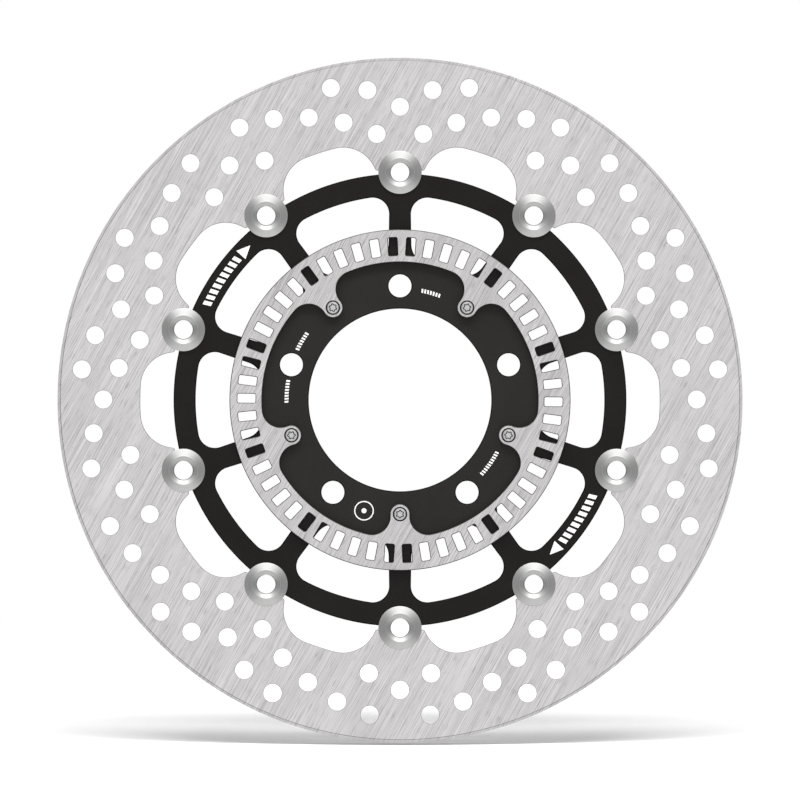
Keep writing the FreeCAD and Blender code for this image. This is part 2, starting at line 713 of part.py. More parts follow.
def make_circlip(document, number, angle):
    """An external circlip, thickest opposite its gap, with an eye at either end."""
    body = new_body(document, f"circlip_{number}")
    ring = sketch_on(body, f"circlip_{number}_ring")
    add_circle(ring, "sizes.clip_radius", "sizes.clip_offset", "0")
    add_circle(ring, "sizes.clip_bore")
    add_pad(body, ring, "sizes.clip_thickness")

    gap = sketch_on(body, f"circlip_{number}_gap")
    reach = "-sizes.clip_radius - sizes.clip_gap"
    add_profile(
        gap,
        [
            (reach, "-sizes.clip_gap / 2"),
            ("0", "-sizes.clip_gap / 2"),
            ("0", "sizes.clip_gap / 2"),
            (reach, "sizes.clip_gap / 2"),
        ],
    )
    add_pocket(body, gap)

    across = "-sizes.eye_circle * cos(sizes.eye_angle)"
    eyes = sketch_on(body, f"circlip_{number}_eyes")
    holes = sketch_on(body, f"circlip_{number}_holes")
    for sign in ("-", ""):
        beside = f"{sign}sizes.eye_circle * sin(sizes.eye_angle)"
        add_circle(eyes, "sizes.eye_radius", across, beside)
        add_circle(holes, "sizes.eye_hole", across, beside)
    add_pad(body, eyes, "sizes.clip_thickness")
    add_pocket(body, holes)
    stand_up(body, f"{WAVE_REAR} - sizes.clip_thickness", "sizes.bobbin_circle", angle)
    return body


def six_lobes(sketch, sizes):
    """The outline of a six-lobe recess: rounded points joined by hollow arcs."""
    lobe = sizes.socket_lobe
    lobe_circle = sizes.socket_point - lobe
    waist = value_of(sketch, SOCKET_HOLLOW)
    waist_circle = sizes.socket_waist + waist
    pitch = FULL_TURN / SOCKET_LOBES
    meet = angle_of(at_angle(waist_circle, pitch / 2) - at_angle(lobe_circle, 0.0))
    turns = [number * pitch for number in range(SOCKET_LOBES)]
    pieces = []
    for turn in turns:
        hollow = at_angle(waist_circle, turn + pitch / 2)
        pieces += [
            arc(at_angle(lobe_circle, turn), lobe, turn - meet, turn + meet),
            arc(hollow, waist, turn + meet - 180.0, turn + pitch - meet - 180.0),
        ]
    items = add_outline(sketch, pieces)
    for turn, point, hollow in zip(turns, items[0::2], items[1::2]):
        drive(sketch, "Radius", (point,), "sizes.socket_lobe")
        drive(sketch, "Radius", (hollow,), SOCKET_HOLLOW)
        height = f"{SOCKET_REACH} * sin({turn})" if turn % 180.0 else "0"
        place_point(sketch, point, CENTRE, f"{SOCKET_REACH} * cos({turn})", height)


def make_tone_ring_screw(document, sizes, number, angle):
    """A countersunk screw with a six-lobe recess and a plain shank for its thread."""
    body = new_body(document, f"tone_ring_screw_{number}")
    profile = sketch_on(body, f"screw_{number}_profile", "XZ_Plane")
    cone_top = "sizes.screw_length - sizes.screw_lip"
    corners = [
        ("0", "0"),
        ("sizes.screw_shank - sizes.screw_chamfer", "0"),
        ("sizes.screw_shank", "sizes.screw_chamfer"),
        ("sizes.screw_shank", f"{cone_top} - (sizes.screw_head - sizes.screw_shank)"),
        ("sizes.screw_head", cone_top),
        ("sizes.screw_head", "sizes.screw_length"),
        ("0", "sizes.screw_length"),
    ]
    add_profile(profile, corners)
    add_turned(body, profile)
    recess = sketch_on(body, f"screw_{number}_recess", height="sizes.screw_length")
    six_lobes(recess, sizes)
    add_pocket(body, recess, "sizes.socket_depth")
    depth = f"{PLATE_FRONT} + sizes.tone_thickness - sizes.screw_length"
    stand_up(body, depth, "sizes.bolt_circle", angle)
    return body


# -------------------------------------------------------------------------- whole model


def make_parts(document, sizes):
    parts = [
        make_friction_ring(document, sizes),
        make_carrier(document, sizes),
        make_tone_ring(document, sizes),
    ]
    for number in range(sizes.bobbin_count):
        angle = UPWARD + number * FULL_TURN / sizes.bobbin_count
        parts += [
            make_bobbin(document, number + 1, angle),
            make_flat_washer(document, number + 1, angle),
            make_wave_washer(document, sizes, number + 1, angle),
            make_circlip(document, number + 1, angle),
        ]
    for number in range(sizes.hub_bolts):
        angle = SCREW_PHASE + number * FULL_TURN / sizes.hub_bolts
        parts.append(make_tone_ring_screw(document, sizes, number + 1, angle))
    return parts


def check(document, parts):
    """Stops if any object of the document failed, or a sub-part is not one valid solid."""
    failed = [
        item.Name
        for item in document.Objects
        if {"Invalid", "Error"} & set(item.State)
    ]
    broken = [
        part.Label
        for part in parts
        if part.Shape.isNull() or not part.Shape.isValid() or len(part.Shape.Solids) != 1
    ]
    if failed or broken:
        raise RuntimeError(f"failed objects {failed}, broken sub-parts {broken}")


def main():
    document = FreeCAD.newDocument("floating_brake_disc")
    sizes = make_sheet(document)
    parts = make_parts(document, sizes)
    document.recompute()
    check(document, parts)
    os.makedirs("parts", exist_ok=True)
    for part in parts:
        part.Shape.exportStep(f"parts/{part.Label}.step")


main()
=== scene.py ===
import math

import bpy
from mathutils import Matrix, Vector
from mathutils.geometry import delaunay_2d_cdt


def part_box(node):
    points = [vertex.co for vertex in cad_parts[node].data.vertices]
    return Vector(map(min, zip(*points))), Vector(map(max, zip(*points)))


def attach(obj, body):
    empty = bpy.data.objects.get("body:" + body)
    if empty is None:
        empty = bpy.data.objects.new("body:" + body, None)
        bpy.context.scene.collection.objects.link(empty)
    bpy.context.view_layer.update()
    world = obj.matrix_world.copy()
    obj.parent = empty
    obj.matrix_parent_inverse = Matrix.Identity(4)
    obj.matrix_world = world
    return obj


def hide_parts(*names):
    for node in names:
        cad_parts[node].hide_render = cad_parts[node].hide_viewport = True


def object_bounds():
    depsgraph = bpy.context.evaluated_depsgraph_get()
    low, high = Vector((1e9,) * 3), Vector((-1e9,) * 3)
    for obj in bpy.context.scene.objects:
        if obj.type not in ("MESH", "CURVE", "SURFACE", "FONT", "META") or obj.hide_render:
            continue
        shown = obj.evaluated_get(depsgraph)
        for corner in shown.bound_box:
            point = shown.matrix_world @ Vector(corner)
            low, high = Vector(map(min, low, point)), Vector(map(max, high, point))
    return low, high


# Looks for a floating front brake disc. The three plates, the bobbins, their flat washers
# and the small screws are built again here at a finer scale, with softened edges; the
# wave washers and circlips are the CAD nodes themselves with better materials.
#
# Sizes are millimetres and degrees, as in the CAD source. An outline is a closed list of
# (x, z) points seen from the outboard side, walked with the metal on its left: outside
# edges run anticlockwise and holes clockwise. A depth is a distance behind a front face.

MM = 0.001
FULL_TURN = 360.0
HALF_TURN = 180.0
RIGHT_ANGLE = 90.0

BOBBIN_COUNT = 10
BOBBIN_CIRCLE = 99.75
NOTCH_RADIUS = 7.55
HUB_BOLTS = 5
BOLT_CIRCLE = 50.0
SCREW_PHASE = 54.0

RING_RADIUS = 150.0
RING_BORE = 101.0
RIM_BEVEL = 1.25
RIM_BEVEL_DEPTH = 0.2
RIM_STEP = 0.1  # height and width of the small step where the bevel meets the face
LUG_TIP_REACH = 0.8
SCALLOP_RADIUS = 113.8
SCALLOP_CORNER = 15.0
SCALLOP_CORNER_AT = 3.4
SCALLOP_LEAN = 10.0
VENT_RADIUS = 4.0
VENT_CHAMFER = 0.1
VENT_MIDDLE = (0.0, 128.5)
VENT_EDGE = (36.0, 127.0)
VENT_PAIRS = (
    (5.0, 117.0),
    (6.0, 136.5),
    (11.5, 124.0),
    (12.5, 140.0),
    (17.9, 130.0),
    (24.2, 135.0),
    (29.5, 120.5),
    (30.5, 138.5),
)
VENT_SECTORS = 5

PLATE_RADIUS = 99.2
PLATE_CHAMFER = 0.4
HUB_BORE = 40.0
HUB_LAND = 58.0
LAND_HEIGHT = 1.2
BOLT_HOLE = 5.0
TAPPED_HOLE = 2.05
WINDOW_OUTER = 89.5
WINDOW_OUTER_CORNER = 7.2
WINDOW_INNER = 60.9
WINDOW_INNER_CORNER = 8.7
SPOKE_SIDE = 6.1
SPOKE_LEAN = 0.93

TONE_RADIUS = 74.7
TONE_BORE = 60.45
TAB_RADIUS = 4.4
TAB_CORNER = 8.0
TAB_HOLE = 2.1
COUNTERSINK = 1.1
SLOT_COUNT = 54
SLOT_INNER = 63.3
SLOT_OUTER = 71.2
SLOT_WIDTH = 3.95
SLOT_CORNER = 0.65
SLOT_FIRST = 6.0

SOFT_EDGE = 0.15  # width of the broken edge of a stamped or milled outline
TONE_EDGE = 0.26  # the same on the sensor ring, whose stamped edges are duller and rounder
EASE = 0.06  # how far a chamfer's two corners are rounded

GRIND_ANGLE = 61.0  # direction of the grinding lines on the steel faces

FEWEST_SIDES = 24  # straight sides that the smallest full circle is drawn with
VENT_SIDES = 48  # the same for a drilled hole
SIDE_GROWTH = 0.75  # power of the radius by which larger circles get more sides
ROUND_PIECE_SIDES = 96
CURVE_STEPS = 5  # steps in the small curve of an eased corner
LEANING_STEPS = 8  # steps along the straight side of a scallop
BORE_STEPS = 16  # steps along the bore between a scallop and a notch

FACE, WALL, SPECIAL = 0, 1, 2  # where a finish stands in a piece's list of materials


# ---------------------------------------------------------------------------- outlines


def polar(radius, angle, centre=(0.0, 0.0)):
    """The point at a radius and an angle in degrees about a centre."""
    turn = math.radians(angle)
    return centre[0] + radius * math.cos(turn), centre[1] + radius * math.sin(turn)


def sides_of(radius):
    """How many straight sides a full circle of a radius is drawn with."""
    quarter = VENT_SIDES / 4 * (radius / VENT_RADIUS) ** SIDE_GROWTH
    return max(FEWEST_SIDES, 4 * round(quarter))


def arc(radius, first, last, centre=(0.0, 0.0)):
    """Points of an arc walked from one angle to another, both ends included."""
    steps = max(2, math.ceil(abs(last - first) / FULL_TURN * sides_of(radius)))
    return [polar(radius, first + (last - first) * n / steps, centre) for n in range(steps + 1)]


def circle(radius, centre=(0.0, 0.0)):
    """An anticlockwise circle."""
    return arc(radius, 0.0, FULL_TURN, centre)[:-1]


def hole(outline):
    """The same outline walked the other way."""
    return outline[::-1]


def tidy(points, gap=1e-4):
    """Drops points that repeat their neighbour."""
    kept = []
    for point in points:
        if not kept or math.dist(point, kept[-1]) > gap:
            kept.append(point)
    if math.dist(kept[0], kept[-1]) < gap:
        kept.pop()
    return kept


def turned(points, angle):
    """Points turned about the axle."""
    cosine, sine = math.cos(math.radians(angle)), math.sin(math.radians(angle))
    return [(x * cosine - z * sine, x * sine + z * cosine) for x, z in points]


def mirrored(points):
    """Points mirrored left to right, walked so that the outline keeps its direction."""
    return [(-x, z) for x, z in reversed(points)]


def around(make, count, phase):
    """One outline per place: make(angle) at even steps round the axle from a phase."""
    return [make(phase + number * FULL_TURN / count) for number in range(count)]


def eased(incoming, outgoing, reach):
    """Rounds the corner where one run of points ends and the next begins."""
    corner = incoming[-1]
    start = next(p for p in reversed(incoming) if math.dist(p, corner) >= reach)
    end = next(p for p in outgoing if math.dist(p, corner) >= reach)
    first = Vector(corner) + (Vector(start) - Vector(corner)).normalized() * reach
    last = Vector(corner) + (Vector(end) - Vector(corner)).normalized() * reach
    curve = []
    for number in range(CURVE_STEPS + 1):
        t = number / CURVE_STEPS
        point = first * (1 - t) ** 2 + Vector(corner) * 2 * t * (1 - t) + last * t**2
        curve.append(tuple(point))
    kept_in = [p for p in incoming if math.dist(p, corner) > reach]
    kept_out = [p for p in outgoing if math.dist(p, corner) > reach]
    return kept_in + curve, kept_out


def inset(outline, distance):
    """The outline moved sideways into the metal on its left, with mitred corners."""
    moved = []
    count = len(outline)
    for place, point in enumerate(outline):
        here = Vector(point)
        before = (here - Vector(outline[place - 1])).normalized()
        after = (Vector(outline[(place + 1) % count]) - here).normalized()
        left = Vector((-before.y, before.x)) + Vector((-after.y, after.x))
        share = max(left.length_squared / 2, 0.5)
        moved.append(tuple(here + left * (distance / share)))
    return moved


def circles_meet(radius, circle_radius, other):
    """Angle at the axle between a circle's centre and where it crosses a circle of a radius."""
    cosine = (radius**2 + circle_radius**2 - other**2) / (2 * radius * circle_radius)
    return math.degrees(math.acos(cosine))


def direction(start, end):
    """The angle in degrees of the way from one point to another."""
    return math.degrees(math.atan2(end[1] - start[1], end[0] - start[0]))


# -------------------------------------------------------------------------- closed shells


def fill(flat, lengths):
    """Triangles that fill the region on the left of closed loops of the given lengths."""
    edges = []
    start = 0
    for length in lengths:
        edges += [(start + n, start + (n + 1) % length) for n in range(length)]
        start += length
    all_triangles = 0
    result = delaunay_2d_cdt([Vector(p) for p in flat], edges, [], all_triangles, 1e-7)
    sources = [found[0] for found in result[3]]
    triangles = [tuple(sources[n] for n in triangle) for triangle in result[2]]
    owner = {}
    for place, (a, b, c) in enumerate(triangles):
        owner.update({(a, b): place, (b, c): place, (c, a): place})
    loop_edges = set(edges)
    inside = {owner[edge] for edge in edges}
    waiting = list(inside)
    while waiting:
        a, b, c = triangles[waiting.pop()]
        for edge in ((a, b), (b, c), (c, a)):
            beyond = owner.get(edge[::-1])
            if edge not in loop_edges and beyond not in inside:
                inside.add(beyond)
                waiting.append(beyond)
    return [triangles[place] for place in sorted(inside)]


SHARP_ANGLE = 35.0  # faces that meet at more than this keep a hard edge between them


class Shell:
    """Collects the rings of points, walls and caps of one closed piece."""

    def __init__(self):
        self.points = []
        self.faces = []
        self.finishes = []
        self.smooth = []

    def ring(self, outline, depth):
        """Adds an outline at a depth and returns its point numbers."""
        first = len(self.points)
        self.points += [(x, depth, z) for x, z in outline]
        return list(range(first, len(self.points)))

    def add_face(self, corners, finish, smooth):
        """Adds one face with its finish, shaded smooth or flat."""
        self.faces.append(corners)
        self.finishes.append(finish)
        self.smooth.append(smooth)

    def strip(self, front, back, finish):
        """Joins two rings of equal length by a wall."""
        count = len(front)
        for n in range(count):
            m = (n + 1) % count
            self.add_face((front[n], back[n], back[m], front[m]), finish, True)

    def wall(self, outline, layers, finish, finish_at=None):
        """A wall through layers of (depth, inset); returns its first and last rings.

        finish_at gives the finish of the wall behind a layer where it differs.
        """
        rings = [self.ring(inset(outline, aside), depth) for depth, aside in layers]
        special = finish_at or {}
        for place, (front, back) in enumerate(zip(rings, rings[1:])):
            self.strip(front, back, special.get(place, finish))
        return rings[0], rings[-1]

    def cap(self, rings, finish, faces_front=True):
        """Fills the flat region between rings, on the left of each of them."""
        order = [number for ring in rings for number in ring]
        flat = [(self.points[n][0], self.points[n][2]) for n in order]
        for triangle in fill(flat, [len(ring) for ring in rings]):
            corners = [order[n] for n in triangle]
            if not faces_front:
                corners.reverse()
            self.add_face(corners, finish, False)

    def close(self, walls):
        """Fills the front and the back between walls given as (first ring, last ring)."""
        self.cap([front for front, _ in walls], FACE)
        self.cap([back for _, back in walls], FACE, faces_front=False)

    def piece(self, name, materials, origin=(0.0, 0.0, 0.0)):
        """The mesh object, its origin at a point of the frame given in metres."""
        mesh = bpy.data.meshes.new(name)
        scaled = [(x * MM, y * MM, z * MM) for x, y, z in self.points]
        mesh.from_pydata(scaled, [], self.faces)
        for material in materials:
            mesh.materials.append(material)
        mesh.polygons.foreach_set("material_index", self.finishes)
        mesh.polygons.foreach_set("use_smooth", self.smooth)
        mesh.set_sharp_from_angle(angle=math.radians(SHARP_ANGLE))
        mesh.validate()
        mesh.update()
        made = bpy.data.objects.new(name, mesh)
        made.location = origin
        bpy.context.scene.collection.objects.link(made)
        shading = made.modifiers.new("even_shading", "WEIGHTED_NORMAL")
        shading.keep_sharp = True
        return made


def chamfered(size, ease=EASE):
    """(depth, inset) from a flat face down a 45 degree chamfer, its corners eased."""
    slant = ease / math.sqrt(2)
    return [
        (0.0, size + ease),
        (slant / 4, size + (ease - slant) / 4),
        (slant, size - slant),
        (size - slant, slant),
        (size + (ease - slant) / 4, slant / 4),
        (size + ease, 0.0),
    ]


def both_ways(half, front, back):
    """Layers from the front face down and, mirrored, up from the back face."""
    top = [(front + depth, aside) for depth, aside in half]
    bottom = [(back - depth, aside) for depth, aside in reversed(half)]
    return top + bottom


def through(front, back, edge):
    """Layers of a wall from a front depth to a back depth with both edges broken."""
    return both_ways(chamfered(edge), front, back)


def rim_layers(front, back):
    """Layers of the ring's rim: a small step, a shallow bevel, the wall, and the same again."""
    half = [
        (0.0, RIM_BEVEL + EASE),
        (EASE / 3, RIM_BEVEL),
        (RIM_STEP, RIM_BEVEL - RIM_STEP),
        (RIM_STEP + EASE / 3, RIM_BEVEL - RIM_STEP - EASE),
        (RIM_BEVEL_DEPTH - EASE / 3, EASE),
        (RIM_BEVEL_DEPTH + EASE, 0.0),
    ]
    return both_ways(half, front, back)


def lathe(name, profile, material, origin):
    """Turns a closed profile of (radius, depth) about its own axis, parallel to the axle."""
    shell = Shell()
    sides = ROUND_PIECE_SIDES
    rings = []
    for radius, depth in profile:
        points = [polar(radius, FULL_TURN * n / sides) for n in range(sides)]
        rings.append(shell.ring(points, depth))
    for place, ring in enumerate(rings):
        shell.strip(ring, rings[(place + 1) % len(rings)], FACE)
    return shell.piece(name, [material], origin)


def rounded_profile(corners, steps=4):
    """Replaces each (radius, depth, rounding) corner of a closed profile by a small curve."""
    count = len(corners)
    profile = []
    for place, (radius, depth, rounding) in enumerate(corners):
        here = Vector((radius, depth))
        if not rounding:
            profile.append((radius, depth))
            continue
        before = (Vector(corners[place - 1][:2]) - here).normalized() * rounding
        after = (Vector(corners[(place + 1) % count][:2]) - here).normalized() * rounding
        for number in range(steps + 1):
            t = number / steps
            point = here + before * (1 - t) ** 2 + after * t**2
            profile.append(tuple(point))
    return profile


# ------------------------------------------------------------------------------ node help


def add(tree, kind, sockets=None, **settings):
    """Adds a node; a socket value that is itself a socket is linked, others are set."""
    node = tree.nodes.new(kind)
    for name, value in settings.items():
        setattr(node, name, value)
    for key, value in (sockets or {}).items():
        if isinstance(value, bpy.types.NodeSocket):
            tree.links.new(value, node.inputs[key])
        else:
            node.inputs[key].default_value = value
    return node


def new_material(name, **constants):
    """A material with an empty Principled shader and its constant sockets set."""
    material = bpy.data.materials.new(name)
    material.use_nodes = True
    tree = material.node_tree
    tree.nodes.clear()
    shader = add(tree, "ShaderNodeBsdfPrincipled")
    for key, value in constants.items():
        shader.inputs[key.replace("_", " ")].default_value = value
    output = add(tree, "ShaderNodeOutputMaterial", {"Surface": shader.outputs["BSDF"]})
    output.is_active_output = True
    return material, tree, shader


def math_node(tree, operation, first, second=0.0, third=0.0):
    """One arithmetic step on values or sockets."""
    sockets = {0: first, 1: second, 2: third}
    return add(tree, "ShaderNodeMath", sockets, operation=operation).outputs[0]


def vector_math(tree, operation, first, second=(0.0, 0.0, 0.0)):
    """One step on vectors; lengths and dot products come out as values."""
    node = add(tree, "ShaderNodeVectorMath", {0: first, 1: second}, operation=operation)
    gives_value = operation in ("DOT_PRODUCT", "LENGTH")
    return node.outputs["Value" if gives_value else "Vector"]


def map_range(tree, value, low, high, to_low, to_high, kind="LINEAR"):
    """Moves a value from the range low..high to the range to_low..to_high, clamped."""
    sockets = {
        "Value": value,
        "From Min": low,
        "From Max": high,
        "To Min": to_low,
        "To Max": to_high,
    }
    return add(tree, "ShaderNodeMapRange", sockets, interpolation_type=kind).outputs["Result"]


def weighted(tree, parts):
    """The sum of (socket, weight) pairs."""
    total = 0.0
    for socket, weight in parts:
        total = math_node(tree, "MULTIPLY_ADD", socket, weight, total)
    return total


def ramp(tree, value, stops):
    """Colours along a value; stops are (position, (red, green, blue))."""
    node = add(tree, "ShaderNodeValToRGB", {"Fac": value})
    elements = node.color_ramp.elements
    while len(elements) < len(stops):
        elements.new(1.0)
    for element, (position, colour) in zip(elements, stops):
        element.position = position
        element.color = (*colour, 1.0)
    return node.outputs["Color"]


def object_place(tree):
    """Each point's place on its own piece, in metres."""
    return add(tree, "ShaderNodeTexCoord").outputs["Object"]


def noise(tree, vector, scale=1.0, detail=2.0, dimensions="3D"):
    """Soft random values from 0 to 1 about a middle of 0.5."""
    sockets = {"Vector": vector, "Scale": scale, "Detail": detail}
    node = add(tree, "ShaderNodeTexNoise", sockets, noise_dimensions=dimensions)
    return node.outputs["Fac"]


def streaks(tree, length, width, offset, detail):
    """Noise drawn out into straight lines of a typical length and width in millimetres."""
    place = object_place(tree)
    lean = math.radians(GRIND_ANGLE)
    along = Vector((math.cos(lean), 0.0, math.sin(lean)))
    across = Vector((-along.z, 0.0, along.x))
    run = vector_math(tree, "DOT_PRODUCT", place, along / (length * MM))
    side = vector_math(tree, "DOT_PRODUCT", place, across / (width * MM))
    moved = math_node(tree, "ADD", run, offset)
    vector = add(tree, "ShaderNodeCombineXYZ", {"X": moved, "Y": side}).outputs["Vector"]
    return noise(tree, vector, detail=detail, dimensions="2D")


def bump(tree, height, distance, strength):
    """A surface roughened by a height, its distance in metres."""
    sockets = {"Height": height, "Distance": distance, "Strength": strength}
    return add(tree, "ShaderNodeBump", sockets).outputs["Normal"]


def grey(level, warmth=0.0):
    """A grey with a little more red and less blue."""
    return level * (1 + warmth), level, level * (1 - warmth)


def tinted(level, tint):
    """A grey level with a tint: the share of it that red, green and blue each get."""
    return tuple(level * share for share in tint)


def shades(tree, tone, level, warmth, darkest, lightest):
    """A grey level, times darkest where the tone is low and times lightest where it is high."""
    steps = ((0.3, darkest), (0.5, 1.0), (0.7, lightest))
    return ramp(tree, tone, [(at, grey(level * share, warmth)) for at, share in steps])


# -------------------------------------------------------------------------------- finishes


STEEL_TINT = (1.028, 1.0, 1.009)  # the faint rose cast of ground stainless steel
STEEL_DARKER = 0.36  # how much darker and lighter the grinding lines get
STEEL_LIGHTER = 0.3

# Layers of grinding lines: length, width, an offset that keeps layers apart, and detail.
FINE_LINES = (34.0, 0.22, 3.0, 1.0)
COARSE_LINES = (60.0, 0.38, 11.0, 1.0)
BROAD_BANDS = (110.0, 7.0, 27.0, 1.0)
SHORT_SCRATCHES = (7.0, 0.3, 43.0, 0.0)
HAIRLINES = (12.0, 0.16, 71.0, 1.0)

PALER_FROM, PALER_TO = 56.0, 74.0  # radii between which the paler look of the hub fades out
SKIN_BUMP = 0.01 * MM  # height of the grain of most finishes, in metres
GRIND_BUMP = 0.02 * MM
CUT_BUMP = 0.04 * MM


def ground_steel(name, level, roughness, contrast=1.0):
    """Flat steel faces ground with straight, slightly uneven parallel lines."""
    material, tree, shader = new_material(name, Metallic=1.0)
    fine = streaks(tree, *FINE_LINES)
    coarse = streaks(tree, *COARSE_LINES)
    broad = streaks(tree, *BROAD_BANDS)
    scratch = streaks(tree, *SHORT_SCRATCHES)
    marks = map_range(tree, scratch, 0.73, 0.8, 0.0, 1.0)
    tone = weighted(tree, [(fine, 0.5), (coarse, 0.36), (broad, 0.14), (marks, -0.16)])
    darker, lighter = STEEL_DARKER * contrast, STEEL_LIGHTER * contrast
    colour = ramp(
        tree,
        tone,
        [
            (0.25, tinted(level * (1 - darker), STEEL_TINT)),
            (0.5, tinted(level, STEEL_TINT)),
            (0.75, tinted(level * (1 + lighter), STEEL_TINT)),
        ],
    )
    tree.links.new(colour, shader.inputs["Base Color"])
    rough = map_range(tree, tone, 0.25, 0.75, roughness + 0.06, roughness - 0.05)
    tree.links.new(rough, shader.inputs["Roughness"])
    hair = streaks(tree, *HAIRLINES)
    ridges = weighted(tree, [(fine, 1.0), (hair, 0.5), (marks, -0.7)])
    tree.links.new(bump(tree, ridges, GRIND_BUMP, 0.55), shader.inputs["Normal"])
    return material


def cut_steel(name, level, roughness):
    """Edges and hole walls of the steel plates: darker, duller, with traces of cutting."""
    material, tree, shader = new_material(name, Metallic=1.0)
    place = object_place(tree)
    flattened = vector_math(tree, "MULTIPLY", place, (1.0, 0.12, 1.0))
    ticks = noise(tree, flattened, scale=1400.0, detail=3.0)
    patches = noise(tree, place, scale=140.0, detail=2.0)
    tone = weighted(tree, [(ticks, 0.5), (patches, 0.5)])
    colour = ramp(
        tree,
        tone,
        [(0.3, grey(level * 0.7)), (0.5, grey(level, 0.01)), (0.7, grey(level * 1.3, 0.01))],
    )
    tree.links.new(colour, shader.inputs["Base Color"])
    rough = map_range(tree, patches, 0.3, 0.7, roughness - 0.07, roughness + 0.08)
    tree.links.new(rough, shader.inputs["Roughness"])
    tree.links.new(bump(tree, ticks, CUT_BUMP, 0.5), shader.inputs["Normal"])
    return material


def anodised(name, middle_colour, deep, roughness, specular):
    """Black anodised aluminium: paler towards the hub, deeper on spokes and rim."""
    material, tree, shader = new_material(name, Metallic=0.0, Specular_IOR_Level=specular)
    place = object_place(tree)
    grain = noise(tree, place, scale=5200.0, detail=2.0)
    milled = noise(tree, place, scale=900.0, detail=3.0)
    clouds = noise(tree, place, scale=38.0, detail=3.0)
    radius = vector_math(tree, "LENGTH", place)
    # The face is paler towards the hub and darker towards the rim.
    paler_middle = map_range(
        tree, radius, PALER_FROM * MM, PALER_TO * MM, 1.0, 0.0, kind="SMOOTHSTEP"
    )
    skin = weighted(tree, [(clouds, 0.55), (milled, 0.25), (grain, 0.2)])
    tone = weighted(tree, [(skin, 0.6), (paler_middle, 0.4)])
    colour = ramp(tree, tone, [(0.2, deep), (0.8, middle_colour)])
    tree.links.new(colour, shader.inputs["Base Color"])
    rough = map_range(tree, skin, 0.3, 0.7, roughness - 0.05, roughness + 0.06)
    tree.links.new(rough, shader.inputs["Roughness"])
    height = weighted(tree, [(grain, 0.5), (milled, 0.5)])
    tree.links.new(bump(tree, height, SKIN_BUMP, 0.5), shader.inputs["Normal"])
    return material


def turned_metal(name, level, roughness, warmth, pitch):
    """Metal turned on a lathe: rings about the piece's own axis, and faint chatter."""
    material, tree, shader = new_material(name, Metallic=1.0)
    place = object_place(tree)
    flat = vector_math(tree, "MULTIPLY", place, (1.0, 0.0, 1.0))
    radius = vector_math(tree, "LENGTH", flat)
    depth = add(tree, "ShaderNodeSeparateXYZ", {0: place}).outputs["Y"]
    scaled = math_node(tree, "MULTIPLY", radius, 1.0 / (pitch * MM))
    sunk = math_node(tree, "MULTIPLY", depth, 1.0 / (pitch * MM))
    vector = add(tree, "ShaderNodeCombineXYZ", {"X": scaled, "Y": sunk}).outputs["Vector"]
    rings = noise(tree, vector, detail=2.0, dimensions="2D")
    wide = noise(tree, vector, scale=0.28, detail=1.0, dimensions="2D")
    patches = noise(tree, place, scale=260.0, detail=3.0)
    tone = weighted(tree, [(rings, 0.42), (wide, 0.33), (patches, 0.25)])
    colour = shades(tree, tone, level, warmth, 0.84, 1.1)
    tree.links.new(colour, shader.inputs["Base Color"])
    rough = map_range(tree, tone, 0.3, 0.7, roughness + 0.05, roughness - 0.05)
    tree.links.new(rough, shader.inputs["Roughness"])
    tree.links.new(bump(tree, rings, SKIN_BUMP, 0.6), shader.inputs["Normal"])
    return material


SKIN_GRAIN = 900.0  # grains to a metre on small hardware, before finer and wider layers


def dull_metal(name, level, roughness, warmth=0.0, metallic=1.0):
    """Small hardware: plated, phosphated or sprung steel with an uneven skin."""
    material, tree, shader = new_material(name, Metallic=metallic)
    place = object_place(tree)
    fine = noise(tree, place, scale=SKIN_GRAIN * 3, detail=2.0)
    skin = noise(tree, place, scale=SKIN_GRAIN, detail=3.0)
    patches = noise(tree, place, scale=SKIN_GRAIN / 6, detail=2.0)
    tone = weighted(tree, [(fine, 0.25), (skin, 0.35), (patches, 0.4)])
    colour = shades(tree, tone, level, warmth, 0.78, 1.2)
    tree.links.new(colour, shader.inputs["Base Color"])
    rough = map_range(tree, tone, 0.3, 0.7, roughness - 0.06, roughness + 0.08)
    tree.links.new(rough, shader.inputs["Roughness"])
    tree.links.new(bump(tree, fine, SKIN_BUMP, 0.5), shader.inputs["Normal"])
    return material


def white_print(name):
    """Screen-printed white ink, thin in places."""
    material, tree, shader = new_material(name, Metallic=0.0, Specular_IOR_Level=0.3)
    place = object_place(tree)
    wear = noise(tree, place, scale=2600.0, detail=3.0)
    colour = ramp(tree, wear, [(0.3, grey(0.8, 0.01)), (0.5, grey(0.92)), (0.7, grey(0.95))])
    tree.links.new(colour, shader.inputs["Base Color"])
    rough = map_range(tree, wear, 0.3, 0.7, 0.6, 0.45)
    tree.links.new(rough, shader.inputs["Roughness"])
    tree.links.new(bump(tree, wear, SKIN_BUMP, 0.4), shader.inputs["Normal"])
    return material


# ------------------------------------------------------------------------- the three plates


def depths_of(node):
    """Front and rear depth of a CAD node, in millimetres of y."""
    low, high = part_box(node)
    return low.y / MM, high.y / MM


